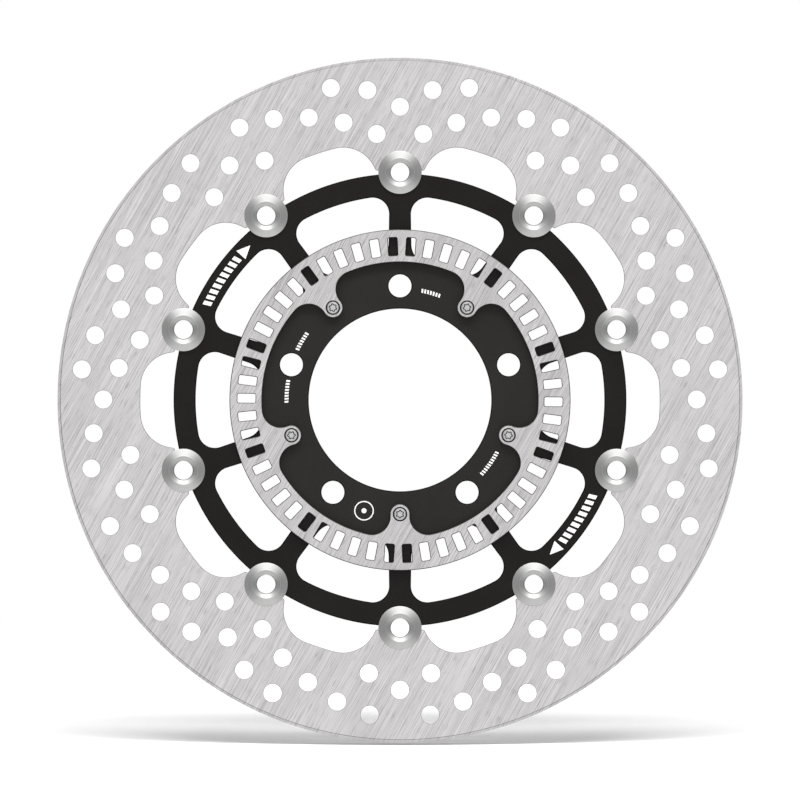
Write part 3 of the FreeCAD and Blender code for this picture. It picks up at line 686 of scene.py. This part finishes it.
def scallop_half():
    """Half a scallop and lug tip about the vertical, from its middle to the notch, on the left."""
    centre = polar(SCALLOP_RADIUS - SCALLOP_CORNER, RIGHT_ANGLE + SCALLOP_CORNER_AT)
    top = arc(SCALLOP_RADIUS, RIGHT_ANGLE, RIGHT_ANGLE + SCALLOP_CORNER_AT)
    side = HALF_TURN - SCALLOP_LEAN
    corner = arc(SCALLOP_CORNER, RIGHT_ANGLE + SCALLOP_CORNER_AT, side, centre)
    foot = corner[-1]
    slope = math.tan(math.radians(SCALLOP_LEAN))
    # The leaning side is (foot.x - slope * t, foot.z - t); it ends where it meets the bore.
    square = slope**2 + 1
    linear = slope * -2 * foot[0] - 2 * foot[1]
    rest = foot[0] ** 2 + foot[1] ** 2 - RING_BORE**2
    run = (-linear - math.sqrt(linear**2 - 4 * square * rest)) / (2 * square)
    tip = (foot[0] - slope * run, foot[1] - run)
    leaning = [
        tuple(a + (b - a) * n / LEANING_STEPS for a, b in zip(foot, tip))
        for n in range(LEANING_STEPS + 1)
    ]
    tip_at = math.degrees(math.atan2(tip[1], tip[0]))
    lug = RIGHT_ANGLE + FULL_TURN / BOBBIN_COUNT / 2
    beside = circles_meet(RING_BORE, BOBBIN_CIRCLE, NOTCH_RADIUS)
    bore = [
        polar(RING_BORE, tip_at + (lug - beside - tip_at) * n / BORE_STEPS)
        for n in range(BORE_STEPS + 1)
    ]
    notch_centre = polar(BOBBIN_CIRCLE, lug)
    enter = direction(notch_centre, bore[-1])
    notch = arc(NOTCH_RADIUS, enter, lug, notch_centre)
    sloped = corner[:-1] + leaning
    sloped, bore = eased(sloped, bore, LUG_TIP_REACH)
    bore, notch = eased(sloped + bore, notch, LUG_TIP_REACH)
    return tidy(top[:-1] + bore + notch)


def ring_bore_outline():
    """The friction ring's inside edge, with its scallops, lugs and notches."""
    left = scallop_half()
    right = mirrored(left)
    pitch = FULL_TURN / BOBBIN_COUNT
    first = pitch / 2
    points = []
    for number in range(BOBBIN_COUNT):
        points += turned(right + left[1:], first + number * pitch)[:-1]
    return hole(tidy(points))


def vent_places():
    """Centres of all the drilled holes."""
    sector = [VENT_MIDDLE, VENT_EDGE]
    for angle, radius in VENT_PAIRS:
        sector += [(angle, radius), (-angle, radius)]
    pitch = FULL_TURN / VENT_SECTORS
    return [
        polar(radius, RIGHT_ANGLE + angle + number * pitch)
        for number in range(VENT_SECTORS)
        for angle, radius in sector
    ]


BEVEL_STRIPS = (3, 4)  # the strips of the rim's wall, from either face, that are its bevel


def build_friction_ring(face, edge, bevel):
    """The drilled and scalloped ring that the pads grip."""
    front, back = depths_of("friction_ring")
    shell = Shell()
    layers = rim_layers(front, back)
    last = len(layers) - 2
    bevels = {strip: SPECIAL for near in BEVEL_STRIPS for strip in (near, last - near)}
    walls = [shell.wall(circle(RING_RADIUS), layers, WALL, bevels)]
    walls.append(shell.wall(ring_bore_outline(), through(front, back, SOFT_EDGE), WALL))
    for place in vent_places():
        outline = hole(circle(VENT_RADIUS, place))
        walls.append(shell.wall(outline, through(front, back, VENT_CHAMFER), WALL))
    shell.close(walls)
    return shell.piece("friction_ring_ground", [face, edge, bevel])


def plate_outline():
    """The carrier's outside edge, broken by the notches of the bobbins."""
    beside = circles_meet(PLATE_RADIUS, BOBBIN_CIRCLE, NOTCH_RADIUS)
    pitch = FULL_TURN / BOBBIN_COUNT
    centre = polar(BOBBIN_CIRCLE, RIGHT_ANGLE)
    enter = direction(centre, polar(PLATE_RADIUS, RIGHT_ANGLE - beside))
    rim = arc(PLATE_RADIUS, RIGHT_ANGLE - pitch + beside, RIGHT_ANGLE - beside)
    notch = arc(NOTCH_RADIUS, enter, -enter - HALF_TURN, centre)
    points = []
    for number in range(BOBBIN_COUNT):
        points += turned(rim + notch[1:-1], number * pitch)
    return tidy(points)


def window_outline(angle):
    """One window between two spokes, about a middle angle."""
    spoke = RIGHT_ANGLE - FULL_TURN / BOBBIN_COUNT / 2 - SPOKE_LEAN
    along = Vector(polar(1.0, spoke))
    inward = Vector(polar(1.0, spoke + RIGHT_ANGLE))

    def beside_spoke(offset, radius):
        """The point at a radius and a distance to the side of the spoke's middle line."""
        return tuple(along * math.sqrt(radius**2 - offset**2) + inward * offset)

    outer = beside_spoke(SPOKE_SIDE + WINDOW_OUTER_CORNER, WINDOW_OUTER - WINDOW_OUTER_CORNER)
    inner = beside_spoke(SPOKE_SIDE + WINDOW_INNER_CORNER, WINDOW_INNER + WINDOW_INNER_CORNER)
    outer_at = math.degrees(math.atan2(outer[1], outer[0]))
    inner_at = math.degrees(math.atan2(inner[1], inner[0]))
    side = spoke - RIGHT_ANGLE
    right = (
        arc(WINDOW_INNER, RIGHT_ANGLE, inner_at)
        + arc(WINDOW_INNER_CORNER, inner_at - HALF_TURN, side, inner)
        + arc(WINDOW_OUTER_CORNER, side, outer_at, outer)
        + arc(WINDOW_OUTER, outer_at, RIGHT_ANGLE)
    )
    return hole(turned(tidy(right + mirrored(right)), angle - RIGHT_ANGLE))


def build_carrier(face, edge):
    """The black centre: hub, spokes and rim, with the land on its rear."""
    front, back = depths_of("carrier")
    plate_back = back - LAND_HEIGHT
    shell = Shell()
    windows = around(window_outline, BOBBIN_COUNT, RIGHT_ANGLE + FULL_TURN / BOBBIN_COUNT / 2)
    plate = [
        shell.wall(outline, through(front, plate_back, PLATE_CHAMFER), WALL)
        for outline in [plate_outline()] + windows
    ]
    bores = [shell.wall(hole(circle(HUB_BORE)), through(front, back, PLATE_CHAMFER), WALL)]
    for number in range(HUB_BOLTS):
        turn = number * FULL_TURN / HUB_BOLTS
        bolt = hole(circle(BOLT_HOLE, polar(BOLT_CIRCLE, RIGHT_ANGLE + turn)))
        tapped = hole(circle(TAPPED_HOLE, polar(BOLT_CIRCLE, SCREW_PHASE + turn)))
        bores.append(shell.wall(bolt, through(front, back, PLATE_CHAMFER), WALL))
        bores.append(shell.wall(tapped, through(front, back, SOFT_EDGE), WALL))
    shell.cap([ring for ring, _ in plate + bores], FACE)

    land = circle(HUB_LAND)
    layers = [(plate_back, 0.0)] + [
        (back - depth, aside) for depth, aside in reversed(chamfered(PLATE_CHAMFER))
    ]
    foot, top = shell.wall(land, layers, WALL)
    shell.cap([ring for _, ring in plate] + [foot[::-1]], FACE, faces_front=False)
    shell.cap([top] + [ring for _, ring in bores], FACE, faces_front=False)
    return shell.piece("carrier_anodised", [face, edge])


def tabbed_bore():
    """The tone ring's inside edge: a circle broken by rounded tabs."""
    corner_circle = TONE_BORE - TAB_CORNER
    beside = circles_meet(corner_circle, BOLT_CIRCLE, TAB_RADIUS + TAB_CORNER)
    pitch = FULL_TURN / HUB_BOLTS
    before = polar(corner_circle, -beside)
    after = polar(corner_circle, beside)
    tab = polar(BOLT_CIRCLE, 0.0)
    meet = direction(before, tab)
    one = (
        arc(TAB_CORNER, -beside, meet, before)
        + arc(TAB_RADIUS, meet - HALF_TURN, -meet - HALF_TURN, tab)[1:]
        + arc(TAB_CORNER, -meet, beside, after)[1:]
        + arc(TONE_BORE, beside, pitch - beside)[1:-1]
    )
    points = []
    for number in range(HUB_BOLTS):
        points += turned(one, SCREW_PHASE + number * pitch)
    return hole(tidy(points))


def slot_outline(angle):
    """One slot of the tone ring, a rectangle with rounded corners."""
    across = SLOT_WIDTH / 2 - SLOT_CORNER
    low, high = SLOT_INNER + SLOT_CORNER, SLOT_OUTER - SLOT_CORNER
    corners = [(across, high), (-across, high), (-across, low), (across, low)]
    points = []
    for number, centre in enumerate(corners):
        first = number * RIGHT_ANGLE
        points += arc(SLOT_CORNER, first, first + RIGHT_ANGLE, centre)
    return hole(turned(tidy(points), angle - RIGHT_ANGLE))


def build_tone_ring(face, edge, shaded):
    """The slotted sensor ring with its countersunk tabs."""
    front, back = depths_of("tone_ring")
    shell = Shell()
    outlines = [circle(TONE_RADIUS), tabbed_bore()]
    outlines += around(slot_outline, SLOT_COUNT, SLOT_FIRST)
    layers = through(front, back, TONE_EDGE)
    walls = [shell.wall(outline, layers, WALL) for outline in outlines]
    for number in range(HUB_BOLTS):
        centre = polar(BOLT_CIRCLE, SCREW_PHASE + number * FULL_TURN / HUB_BOLTS)
        layers = [(front, COUNTERSINK), (front + COUNTERSINK, 0.0), (back, 0.0)]
        # The countersink walls take the third finish, a painted shade for the dark gap round each
        # screw head.
        walls.append(shell.wall(hole(circle(TAB_HOLE, centre)), layers, SPECIAL))
    shell.close(walls)
    return shell.piece("tone_ring_ground", [face, edge, shaded])


# --------------------------------------------------------------------------- round pieces

FLANGE = 9.5
RIDGE = 6.2
BARREL = 7.5
BOBBIN_HOLE = 4.05
GROOVE = 7.15
GROOVE_DEPTHS = (0.5, 1.6)
FLANGE_SEAT = -6.8
FLANGE_RIM = 0.7
RIDGE_HEIGHT = 1.8
SINK = 1.2  # how far the dished middle of the flange lies below its ridge
MOUTH_DEPTH = 0.5  # the hole's mouth: how far it reaches below the dish, rises and widens
MOUTH_RISE = 0.3
MOUTH_FLARE = 0.4
TAIL_CHAMFER = 0.4
HOLE_CHAMFER = 0.3
WASHER_BORE = 7.65
WASHER_RADIUS = 9.5


def centre_of(node):
    """Middle of a CAD node across the axle direction, at y = 0, in metres."""
    low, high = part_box(node)
    middle = (low + high) / 2
    return Vector((middle.x, 0.0, middle.z))


def bobbin_profile(rear):
    """(radius, depth, rounding) round the bobbin's section, from the hole's front edge."""
    front = FLANGE_SEAT - RIDGE_HEIGHT
    rim = FLANGE_SEAT - FLANGE_RIM
    groove_start, groove_end = GROOVE_DEPTHS
    corners = [
        (BOBBIN_HOLE, front + SINK + MOUTH_DEPTH, 0.15),
        (BOBBIN_HOLE, rear - HOLE_CHAMFER, 0.1),
        (BOBBIN_HOLE + HOLE_CHAMFER, rear, 0.1),
        (BARREL - TAIL_CHAMFER, rear, 0.1),
        (BARREL, rear - TAIL_CHAMFER, 0.1),
        (BARREL, groove_end, 0.05),
        (GROOVE, groove_end, 0.0),
        (GROOVE, groove_start, 0.0),
        (BARREL, groove_start, 0.05),
        (BARREL, FLANGE_SEAT, 0.0),
        (FLANGE, FLANGE_SEAT, 0.12),
        (FLANGE, rim, 0.16),
        (RIDGE, front, 0.04),
        (BOBBIN_HOLE + MOUTH_FLARE, front + SINK - MOUTH_RISE, 0.3),
    ]
    return rounded_profile(corners)


def build_bobbin(number, metal):
    """One hollow floating button."""
    node = f"bobbin_{number}"
    profile = bobbin_profile(depths_of(node)[1])
    return lathe(f"{node}_turned", profile, metal, centre_of(node))


def build_flat_washer(number, metal):
    """One plain washer behind the two plates."""
    node = f"flat_washer_{number}"
    front, rear = depths_of(node)
    corners = [
        (WASHER_BORE, front, 0.08),
        (WASHER_BORE, rear, 0.08),
        (WASHER_RADIUS, rear, 0.2),
        (WASHER_RADIUS, front, 0.08),
    ]
    profile = rounded_profile(corners, steps=3)
    return lathe(f"{node}_plated", profile, metal, centre_of(node))


# ------------------------------------------------------------------------------- screws

SCREW_HEAD = 2.85
SCREW_SHANK = 1.95
SCREW_LIP = 0.3
SCREW_CROWN = 0.28  # width of the rounding at the head's edge and at the recess's mouth
CROWN_STEP = 0.1  # the point half way round it
SCREW_TIP = 0.4
LOBES = 6
MOUTH_DROP = 0.3  # depth of the rounding at the recess's mouth
SOCKET_TAPER = -0.12  # inset at the recess's floor: below zero, so that it narrows
SOCKET_POINT = 1.635
SOCKET_WAIST = 1.17
SOCKET_LOBE = 0.267
SOCKET_DEPTH = 1.3
SOCKET_TURNS = (12.0, 41.0, 3.0, 27.0, 52.0)  # how far each screw happened to stop turning


def six_lobes(turn):
    """The outline of a six-lobe recess: rounded points joined by hollow arcs."""
    reach = SOCKET_POINT - SOCKET_LOBE
    half = FULL_TURN / LOBES / 2
    cosine = math.cos(math.radians(half))
    top = reach**2 + SOCKET_WAIST**2 - SOCKET_LOBE**2 - 2 * reach * SOCKET_WAIST * cosine
    hollow = top / 2 / (SOCKET_LOBE - SOCKET_WAIST + reach * cosine)
    lobe_at = polar(reach, 0.0)
    hollow_at = polar(SOCKET_WAIST + hollow, half)
    meet = direction(lobe_at, hollow_at)
    one = arc(SOCKET_LOBE, -meet, meet, lobe_at)
    one += arc(hollow, meet + HALF_TURN, 2 * half - meet + HALF_TURN, hollow_at)[1:-1]
    points = []
    for number in range(LOBES):
        points += turned(one, turn + 2 * half * number)
    return hole(tidy(points))


def build_screw(number, metal, painted_shade):
    """One countersunk screw; a painted shade darkens its edge and the walls of its recess."""
    node = f"tone_ring_screw_{number}"
    front, rear = depths_of(node)
    shell = Shell()
    cone = front + SCREW_LIP + SCREW_HEAD - SCREW_SHANK
    outside = [
        (front, SCREW_CROWN),
        (front + CROWN_STEP, CROWN_STEP),
        (front + SCREW_LIP, 0.0),
        (cone, SCREW_HEAD - SCREW_SHANK),
        (rear - SCREW_TIP, SCREW_HEAD - SCREW_SHANK),
        (rear, SCREW_HEAD - SCREW_SHANK + SCREW_TIP),
    ]
    # The head's rounded edge gets the painted shade, for the dark gap round the head in its
    # countersink.
    painted_shade_strips = {0: WALL, 1: WALL}
    head, tip = shell.wall(circle(SCREW_HEAD), outside, FACE, painted_shade_strips)
    inside = [
        (front, SCREW_CROWN),
        (front + MOUTH_DROP, 0.0),
        (front + SOCKET_DEPTH, SOCKET_TAPER),
    ]
    # The recess walls get the painted shade too, for the shadow inside the recess.
    mouth, floor = shell.wall(six_lobes(SOCKET_TURNS[number - 1]), inside, WALL)
    shell.cap([head, mouth], FACE)
    shell.cap([floor[::-1]], FACE)
    shell.cap([tip], FACE, faces_front=False)
    return shell.piece(f"{node}_fine", [metal, painted_shade], centre_of(node))


# ------------------------------------------------------------------------ printed marks

PRINT_HEIGHT = 0.03
PRINT_SUNK = 0.02

ARROW_MIDDLE = 144.0  # where the first arrow is; the second is straight across the axle
ARROW_INNER = 92.5
ARROW_OUTER = 96.1
ARROW_START = 9.6  # degrees from the middle of the arrow to its first dash
ARROW_DASHES = 9
ARROW_PITCH = 1.75  # degrees from dash to dash
ARROW_DASH = 1.1
ARROW_SLANT = 0.5
ARROW_GAP = 0.2  # degrees between the last dash and the head
ARROW_NOSE = 3.6  # degrees that the head reaches past its back
ARROW_WING = 0.9  # how far the head stands out beyond the dashes, each way

TICK_PITCH = 1.5  # degrees from tick to tick on the hub
TICK_SHARE = 0.6  # how much of its pitch a tick fills
TICK_HEIGHT = 1.7
TICK_SLANT = 0.2
HUB_ROWS = (  # angle of the row's middle, number of ticks, radius
    (73.8, 7, 48.8),
    (149.0, 7, 50.1),
    (175.5, 8, 49.7),
    (324.6, 10, 48.3),
)

SYMBOL_ANGLE = 252.0
SYMBOL_PLACE = 51.0
SYMBOL_OUTER = 4.3
SYMBOL_INNER = 3.8
SYMBOL_DOT = 1.1


def build_print(name, outlines, ink):
    """Flat shapes of ink on the carrier's front face, as one piece."""
    front = depths_of("carrier")[0]
    shell = Shell()
    layers = [(front - PRINT_HEIGHT, 0.0), (front + PRINT_SUNK, 0.0)]
    for loops in outlines:
        shell.close([shell.wall(outline, layers, FACE) for outline in loops])
    return shell.piece(name, [ink])


def band(inner, outer, first, last, slant):
    """A piece of a ring between two radii and two angles, its ends leaning by a slant."""
    outside = arc(outer, first + slant, last + slant)
    inside = arc(inner, last, first)
    return tidy(outside + inside)


def rotation_arrow(middle):
    """A dashed arrow along the rim about a middle angle, pointing clockwise."""
    start = middle + ARROW_START
    shapes = []
    for number in range(ARROW_DASHES):
        at = start - number * ARROW_PITCH
        shapes.append([band(ARROW_INNER, ARROW_OUTER, at - ARROW_DASH, at, ARROW_SLANT)])
    back = start - ARROW_DASHES * ARROW_PITCH - ARROW_GAP
    nose = polar((ARROW_INNER + ARROW_OUTER) / 2, back - ARROW_NOSE)
    wings = [polar(ARROW_OUTER + ARROW_WING, back), polar(ARROW_INNER - ARROW_WING, back)]
    shapes.append([wings + [nose]])
    return shapes


def hub_ticks(middle, count, radius):
    """A short row of plain ticks on the hub."""
    width = TICK_PITCH * TICK_SHARE
    first = middle + ((count - 1) * TICK_PITCH + width) / 2
    low, high = radius - TICK_HEIGHT / 2, radius + TICK_HEIGHT / 2
    starts = [first - number * TICK_PITCH for number in range(count)]
    return [[band(low, high, at - width, at, TICK_SLANT)] for at in starts]


def hub_circle():
    """A plain ring with a dot on the hub."""
    centre = polar(SYMBOL_PLACE, SYMBOL_ANGLE)
    outer = circle(SYMBOL_OUTER, centre)
    inner = hole(circle(SYMBOL_INNER, centre))
    return [[outer, inner], [circle(SYMBOL_DOT, centre)]]


# ------------------------------------------------------------------- camera, floor, light

# Sizes here are metres, as in the frame.

CAMERA_DISTANCE = 1.0
PICTURE_WIDTH = 0.35046

FLOOR_HALF_WIDTH = 0.8
FLOOR_FRONT = -0.7
FLOOR_BACK = 0.45
FLOOR_RISE = 0.115  # height gained for each metre backwards
FLOOR_GAP = 0.0004  # how far the floor lies below the disc's lowest point

LAMP_WIDTH = 1.5
LAMP_DEPTH = 0.22
LAMP_ENERGY = 17.0
LAMP_PLACE = Vector((0.0, -0.42, 0.95))
LAMP_AIM = Vector((0.0, 0.08, -0.15))

OPEN_SIDE = 0.335  # the studio's light all round
STRIP_LIGHT = 0.65  # what the bright upright strip in the middle adds
STRIP_OFFSET = 0.03  # how far right of the middle it stands
STRIP_EDGES = (0.1, 0.53)  # where it begins and ends to fade, from its own middle
CEILING_LIGHT = 1.6
CEILING_POWER = 3.0
FLOOR_GLOW = 0.68  # light that comes back up from the pale floor
FLOOR_EDGES = (-0.8, -0.12)  # heights between which the floor's light takes over
DIFFUSE_SHARE = 0.55  # how much of the studio's own light matt surfaces get, beside the lamp's


def add_camera():
    """Looks square at the disc's front face, without perspective."""
    data = bpy.data.cameras.new("camera")
    data.type = "ORTHO"
    data.ortho_scale = PICTURE_WIDTH
    data.clip_start, data.clip_end = 0.01, 20.0
    camera = bpy.data.objects.new("camera", data)
    camera.location = (0.0, -CAMERA_DISTANCE, 0.0)
    camera.rotation_euler = (math.radians(RIGHT_ANGLE), 0.0, 0.0)
    bpy.context.scene.collection.objects.link(camera)
    bpy.context.scene.camera = camera


def add_floor(lowest):
    """A pale floor that rises very gently behind the disc."""
    ground = lowest - FLOOR_GAP
    near = ground + FLOOR_RISE * FLOOR_FRONT
    far = ground + FLOOR_RISE * FLOOR_BACK
    corners = [
        (-FLOOR_HALF_WIDTH, FLOOR_FRONT, near),
        (FLOOR_HALF_WIDTH, FLOOR_FRONT, near),
        (FLOOR_HALF_WIDTH, FLOOR_BACK, far),
        (-FLOOR_HALF_WIDTH, FLOOR_BACK, far),
    ]
    mesh = bpy.data.meshes.new("floor")
    mesh.from_pydata(corners, [], [(0, 1, 2, 3)])
    material, tree, shader = new_material("pale_floor", Metallic=0.0, Specular_IOR_Level=0.1)
    mottle = noise(tree, object_place(tree), scale=30.0, detail=2.0)
    colour = ramp(tree, mottle, [(0.3, grey(0.9)), (0.7, grey(0.92))])
    tree.links.new(colour, shader.inputs["Base Color"])
    shader.inputs["Roughness"].default_value = 0.9
    mesh.materials.append(material)
    floor = bpy.data.objects.new("floor", mesh)
    bpy.context.scene.collection.objects.link(floor)
    floor.visible_glossy = False


def add_world():
    """A white studio: seen directly it is plain white, its light is brightest above."""
    world = bpy.data.worlds.new("studio")
    world.use_nodes = True
    bpy.context.scene.world = world
    tree = world.node_tree
    tree.nodes.clear()
    towards = add(tree, "ShaderNodeTexCoord").outputs["Generated"]
    split = add(tree, "ShaderNodeSeparateXYZ", {0: towards})
    shifted = math_node(tree, "SUBTRACT", split.outputs["X"], STRIP_OFFSET)
    aside = math_node(tree, "ABSOLUTE", shifted)
    strip = map_range(tree, aside, *STRIP_EDGES, STRIP_LIGHT, 0.0, kind="SMOOTHSTEP")
    height = math_node(tree, "MAXIMUM", split.outputs["Z"], 0.0)
    above = math_node(tree, "POWER", height, CEILING_POWER)
    level = weighted(tree, [(strip, 1.0), (above, CEILING_LIGHT)])
    open_side = math_node(tree, "ADD", level, OPEN_SIDE)
    below = split.outputs["Z"]
    from_floor = map_range(tree, below, *FLOOR_EDGES, 1.0, 0.0, kind="SMOOTHSTEP")
    to_floor = math_node(tree, "SUBTRACT", FLOOR_GLOW, open_side)
    seen = math_node(tree, "MULTIPLY_ADD", to_floor, from_floor, open_side)
    path = add(tree, "ShaderNodeLightPath")
    share = map_range(tree, path.outputs["Is Diffuse Ray"], 0.0, 1.0, 1.0, DIFFUSE_SHARE)
    light = math_node(tree, "MULTIPLY", seen, share)
    shade = add(tree, "ShaderNodeCombineColor", {0: light, 1: light, 2: light})
    soft = add(tree, "ShaderNodeBackground", {"Color": shade.outputs["Color"]})
    plain = add(tree, "ShaderNodeBackground", {"Color": (1.0, 1.0, 1.0, 1.0)})
    direct = path.outputs["Is Camera Ray"]
    mixed = add(
        tree,
        "ShaderNodeMixShader",
        {0: direct, 1: soft.outputs["Background"], 2: plain.outputs["Background"]},
    )
    add(tree, "ShaderNodeOutputWorld", {"Surface": mixed.outputs["Shader"]})


def add_lamp():
    """A wide soft lamp overhead, a little in front of the disc."""
    data = bpy.data.lights.new("overhead", "AREA")
    data.shape = "RECTANGLE"
    data.size, data.size_y = LAMP_WIDTH, LAMP_DEPTH
    data.energy = LAMP_ENERGY
    lamp = bpy.data.objects.new("overhead", data)
    lamp.location = LAMP_PLACE
    lamp.rotation_euler = (LAMP_AIM - LAMP_PLACE).to_track_quat("-Z", "Y").to_euler()
    lamp.visible_glossy = False
    bpy.context.scene.collection.objects.link(lamp)


# ---------------------------------------------------------------------------- whole scene


def stand_in(piece, body, node):
    """Rides a new piece on a body in place of its CAD node."""
    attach(piece, body)
    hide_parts(node)


def plate_steels():
    """Face, edge and bevel of the friction ring."""
    face = ground_steel("ground_disc_steel", level=0.72, roughness=0.33)
    edge = cut_steel("cut_disc_steel", level=0.3, roughness=0.38)
    bevel = ground_steel("bevel_disc_steel", level=0.67, roughness=0.36)
    return face, edge, bevel


def sensor_steels():
    """Face and edge of the tone ring, and a painted shade for the walls of its countersinks."""
    face = ground_steel("ground_sensor_steel", level=0.67, roughness=0.33, contrast=1.2)
    edge = cut_steel("cut_sensor_steel", level=0.14, roughness=0.4)
    # A near-black matt colour on the countersink walls: painted shade for the dark gap round each
    # screw head.
    painted_shade = dull_metal("countersink_painted_shade", level=0.008, roughness=0.6, metallic=0.0)
    return face, edge, painted_shade


def carrier_blacks():
    """Face and edge of the carrier."""
    face = anodised(
        "black_anodised_face",
        middle_colour=(0.0195, 0.0175, 0.0157),
        deep=(0.0049, 0.0026, 0.0029),
        roughness=0.46,
        specular=0.2,
    )
    edge = anodised(
        "black_anodised_edge",
        middle_colour=(0.0060, 0.0054, 0.0050),
        deep=(0.0030, 0.0026, 0.0026),
        roughness=0.5,
        specular=0.08,
    )
    return face, edge


def build_plates():
    """The friction ring, the carrier and the tone ring."""
    ring = build_friction_ring(*plate_steels())
    stand_in(ring, "friction_ring", "friction_ring")
    carrier = build_carrier(*carrier_blacks())
    stand_in(carrier, "carrier", "carrier")
    tone = build_tone_ring(*sensor_steels())
    stand_in(tone, "carrier", "tone_ring")


def build_buttons(nodes):
    """The bobbins with their washers, and new materials for the springs and clips."""
    alloy = turned_metal("turned_alloy", level=0.74, roughness=0.2, warmth=0.004, pitch=0.28)
    zinc = turned_metal("washer_zinc", level=0.5, roughness=0.32, warmth=0.02, pitch=0.5)
    spring = dull_metal("spring_steel", level=0.34, roughness=0.3, warmth=0.03)
    phosphate = dull_metal("clip_phosphate", level=0.05, roughness=0.42, metallic=0.85)
    for number in range(1, BOBBIN_COUNT + 1):
        body = f"bobbin_{number}"
        stand_in(build_bobbin(number, alloy), body, f"bobbin_{number}")
        washer = build_flat_washer(number, zinc)
        stand_in(washer, body, f"flat_washer_{number}")
        for name, metal in (("wave_washer", spring), ("circlip", phosphate)):
            node = nodes[f"{name}_{number}"]
            node.data.materials.clear()
            node.data.materials.append(metal)


def build_screws():
    """The five screws of the tone ring."""
    metal = dull_metal("screw_steel", level=0.66, roughness=0.3)
    # A near-black matt colour: painted shade for the screws' edges and recesses.
    painted_shade = dull_metal("screw_painted_shade", level=0.008, roughness=0.6, metallic=0.0)
    for number in range(1, HUB_BOLTS + 1):
        screw = build_screw(number, metal, painted_shade)
        stand_in(screw, "carrier", f"tone_ring_screw_{number}")


def build_marks():
    """The plain white marks printed on the carrier."""
    ink = white_print("white_ink")
    prints = {
        "rotation_arrow_1": rotation_arrow(ARROW_MIDDLE),
        "rotation_arrow_2": rotation_arrow(ARROW_MIDDLE + HALF_TURN),
    }
    for number, row in enumerate(HUB_ROWS, start=1):
        prints[f"hub_ticks_{number}"] = hub_ticks(*row)
    prints["hub_circle"] = hub_circle()
    for name, outlines in prints.items():
        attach(build_print(name, outlines, ink), "carrier")


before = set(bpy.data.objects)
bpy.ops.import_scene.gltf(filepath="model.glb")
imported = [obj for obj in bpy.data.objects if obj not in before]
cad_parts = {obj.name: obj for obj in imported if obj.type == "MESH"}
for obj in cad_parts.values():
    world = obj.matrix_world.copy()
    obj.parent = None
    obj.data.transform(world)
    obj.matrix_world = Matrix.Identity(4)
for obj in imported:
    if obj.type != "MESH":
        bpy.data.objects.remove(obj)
cad_low, cad_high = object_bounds()

add_camera()
add_floor(cad_low.z)
add_world()
add_lamp()
bpy.context.scene.view_settings.view_transform = "Standard"

build_plates()
build_buttons(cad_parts)
build_screws()
build_marks()
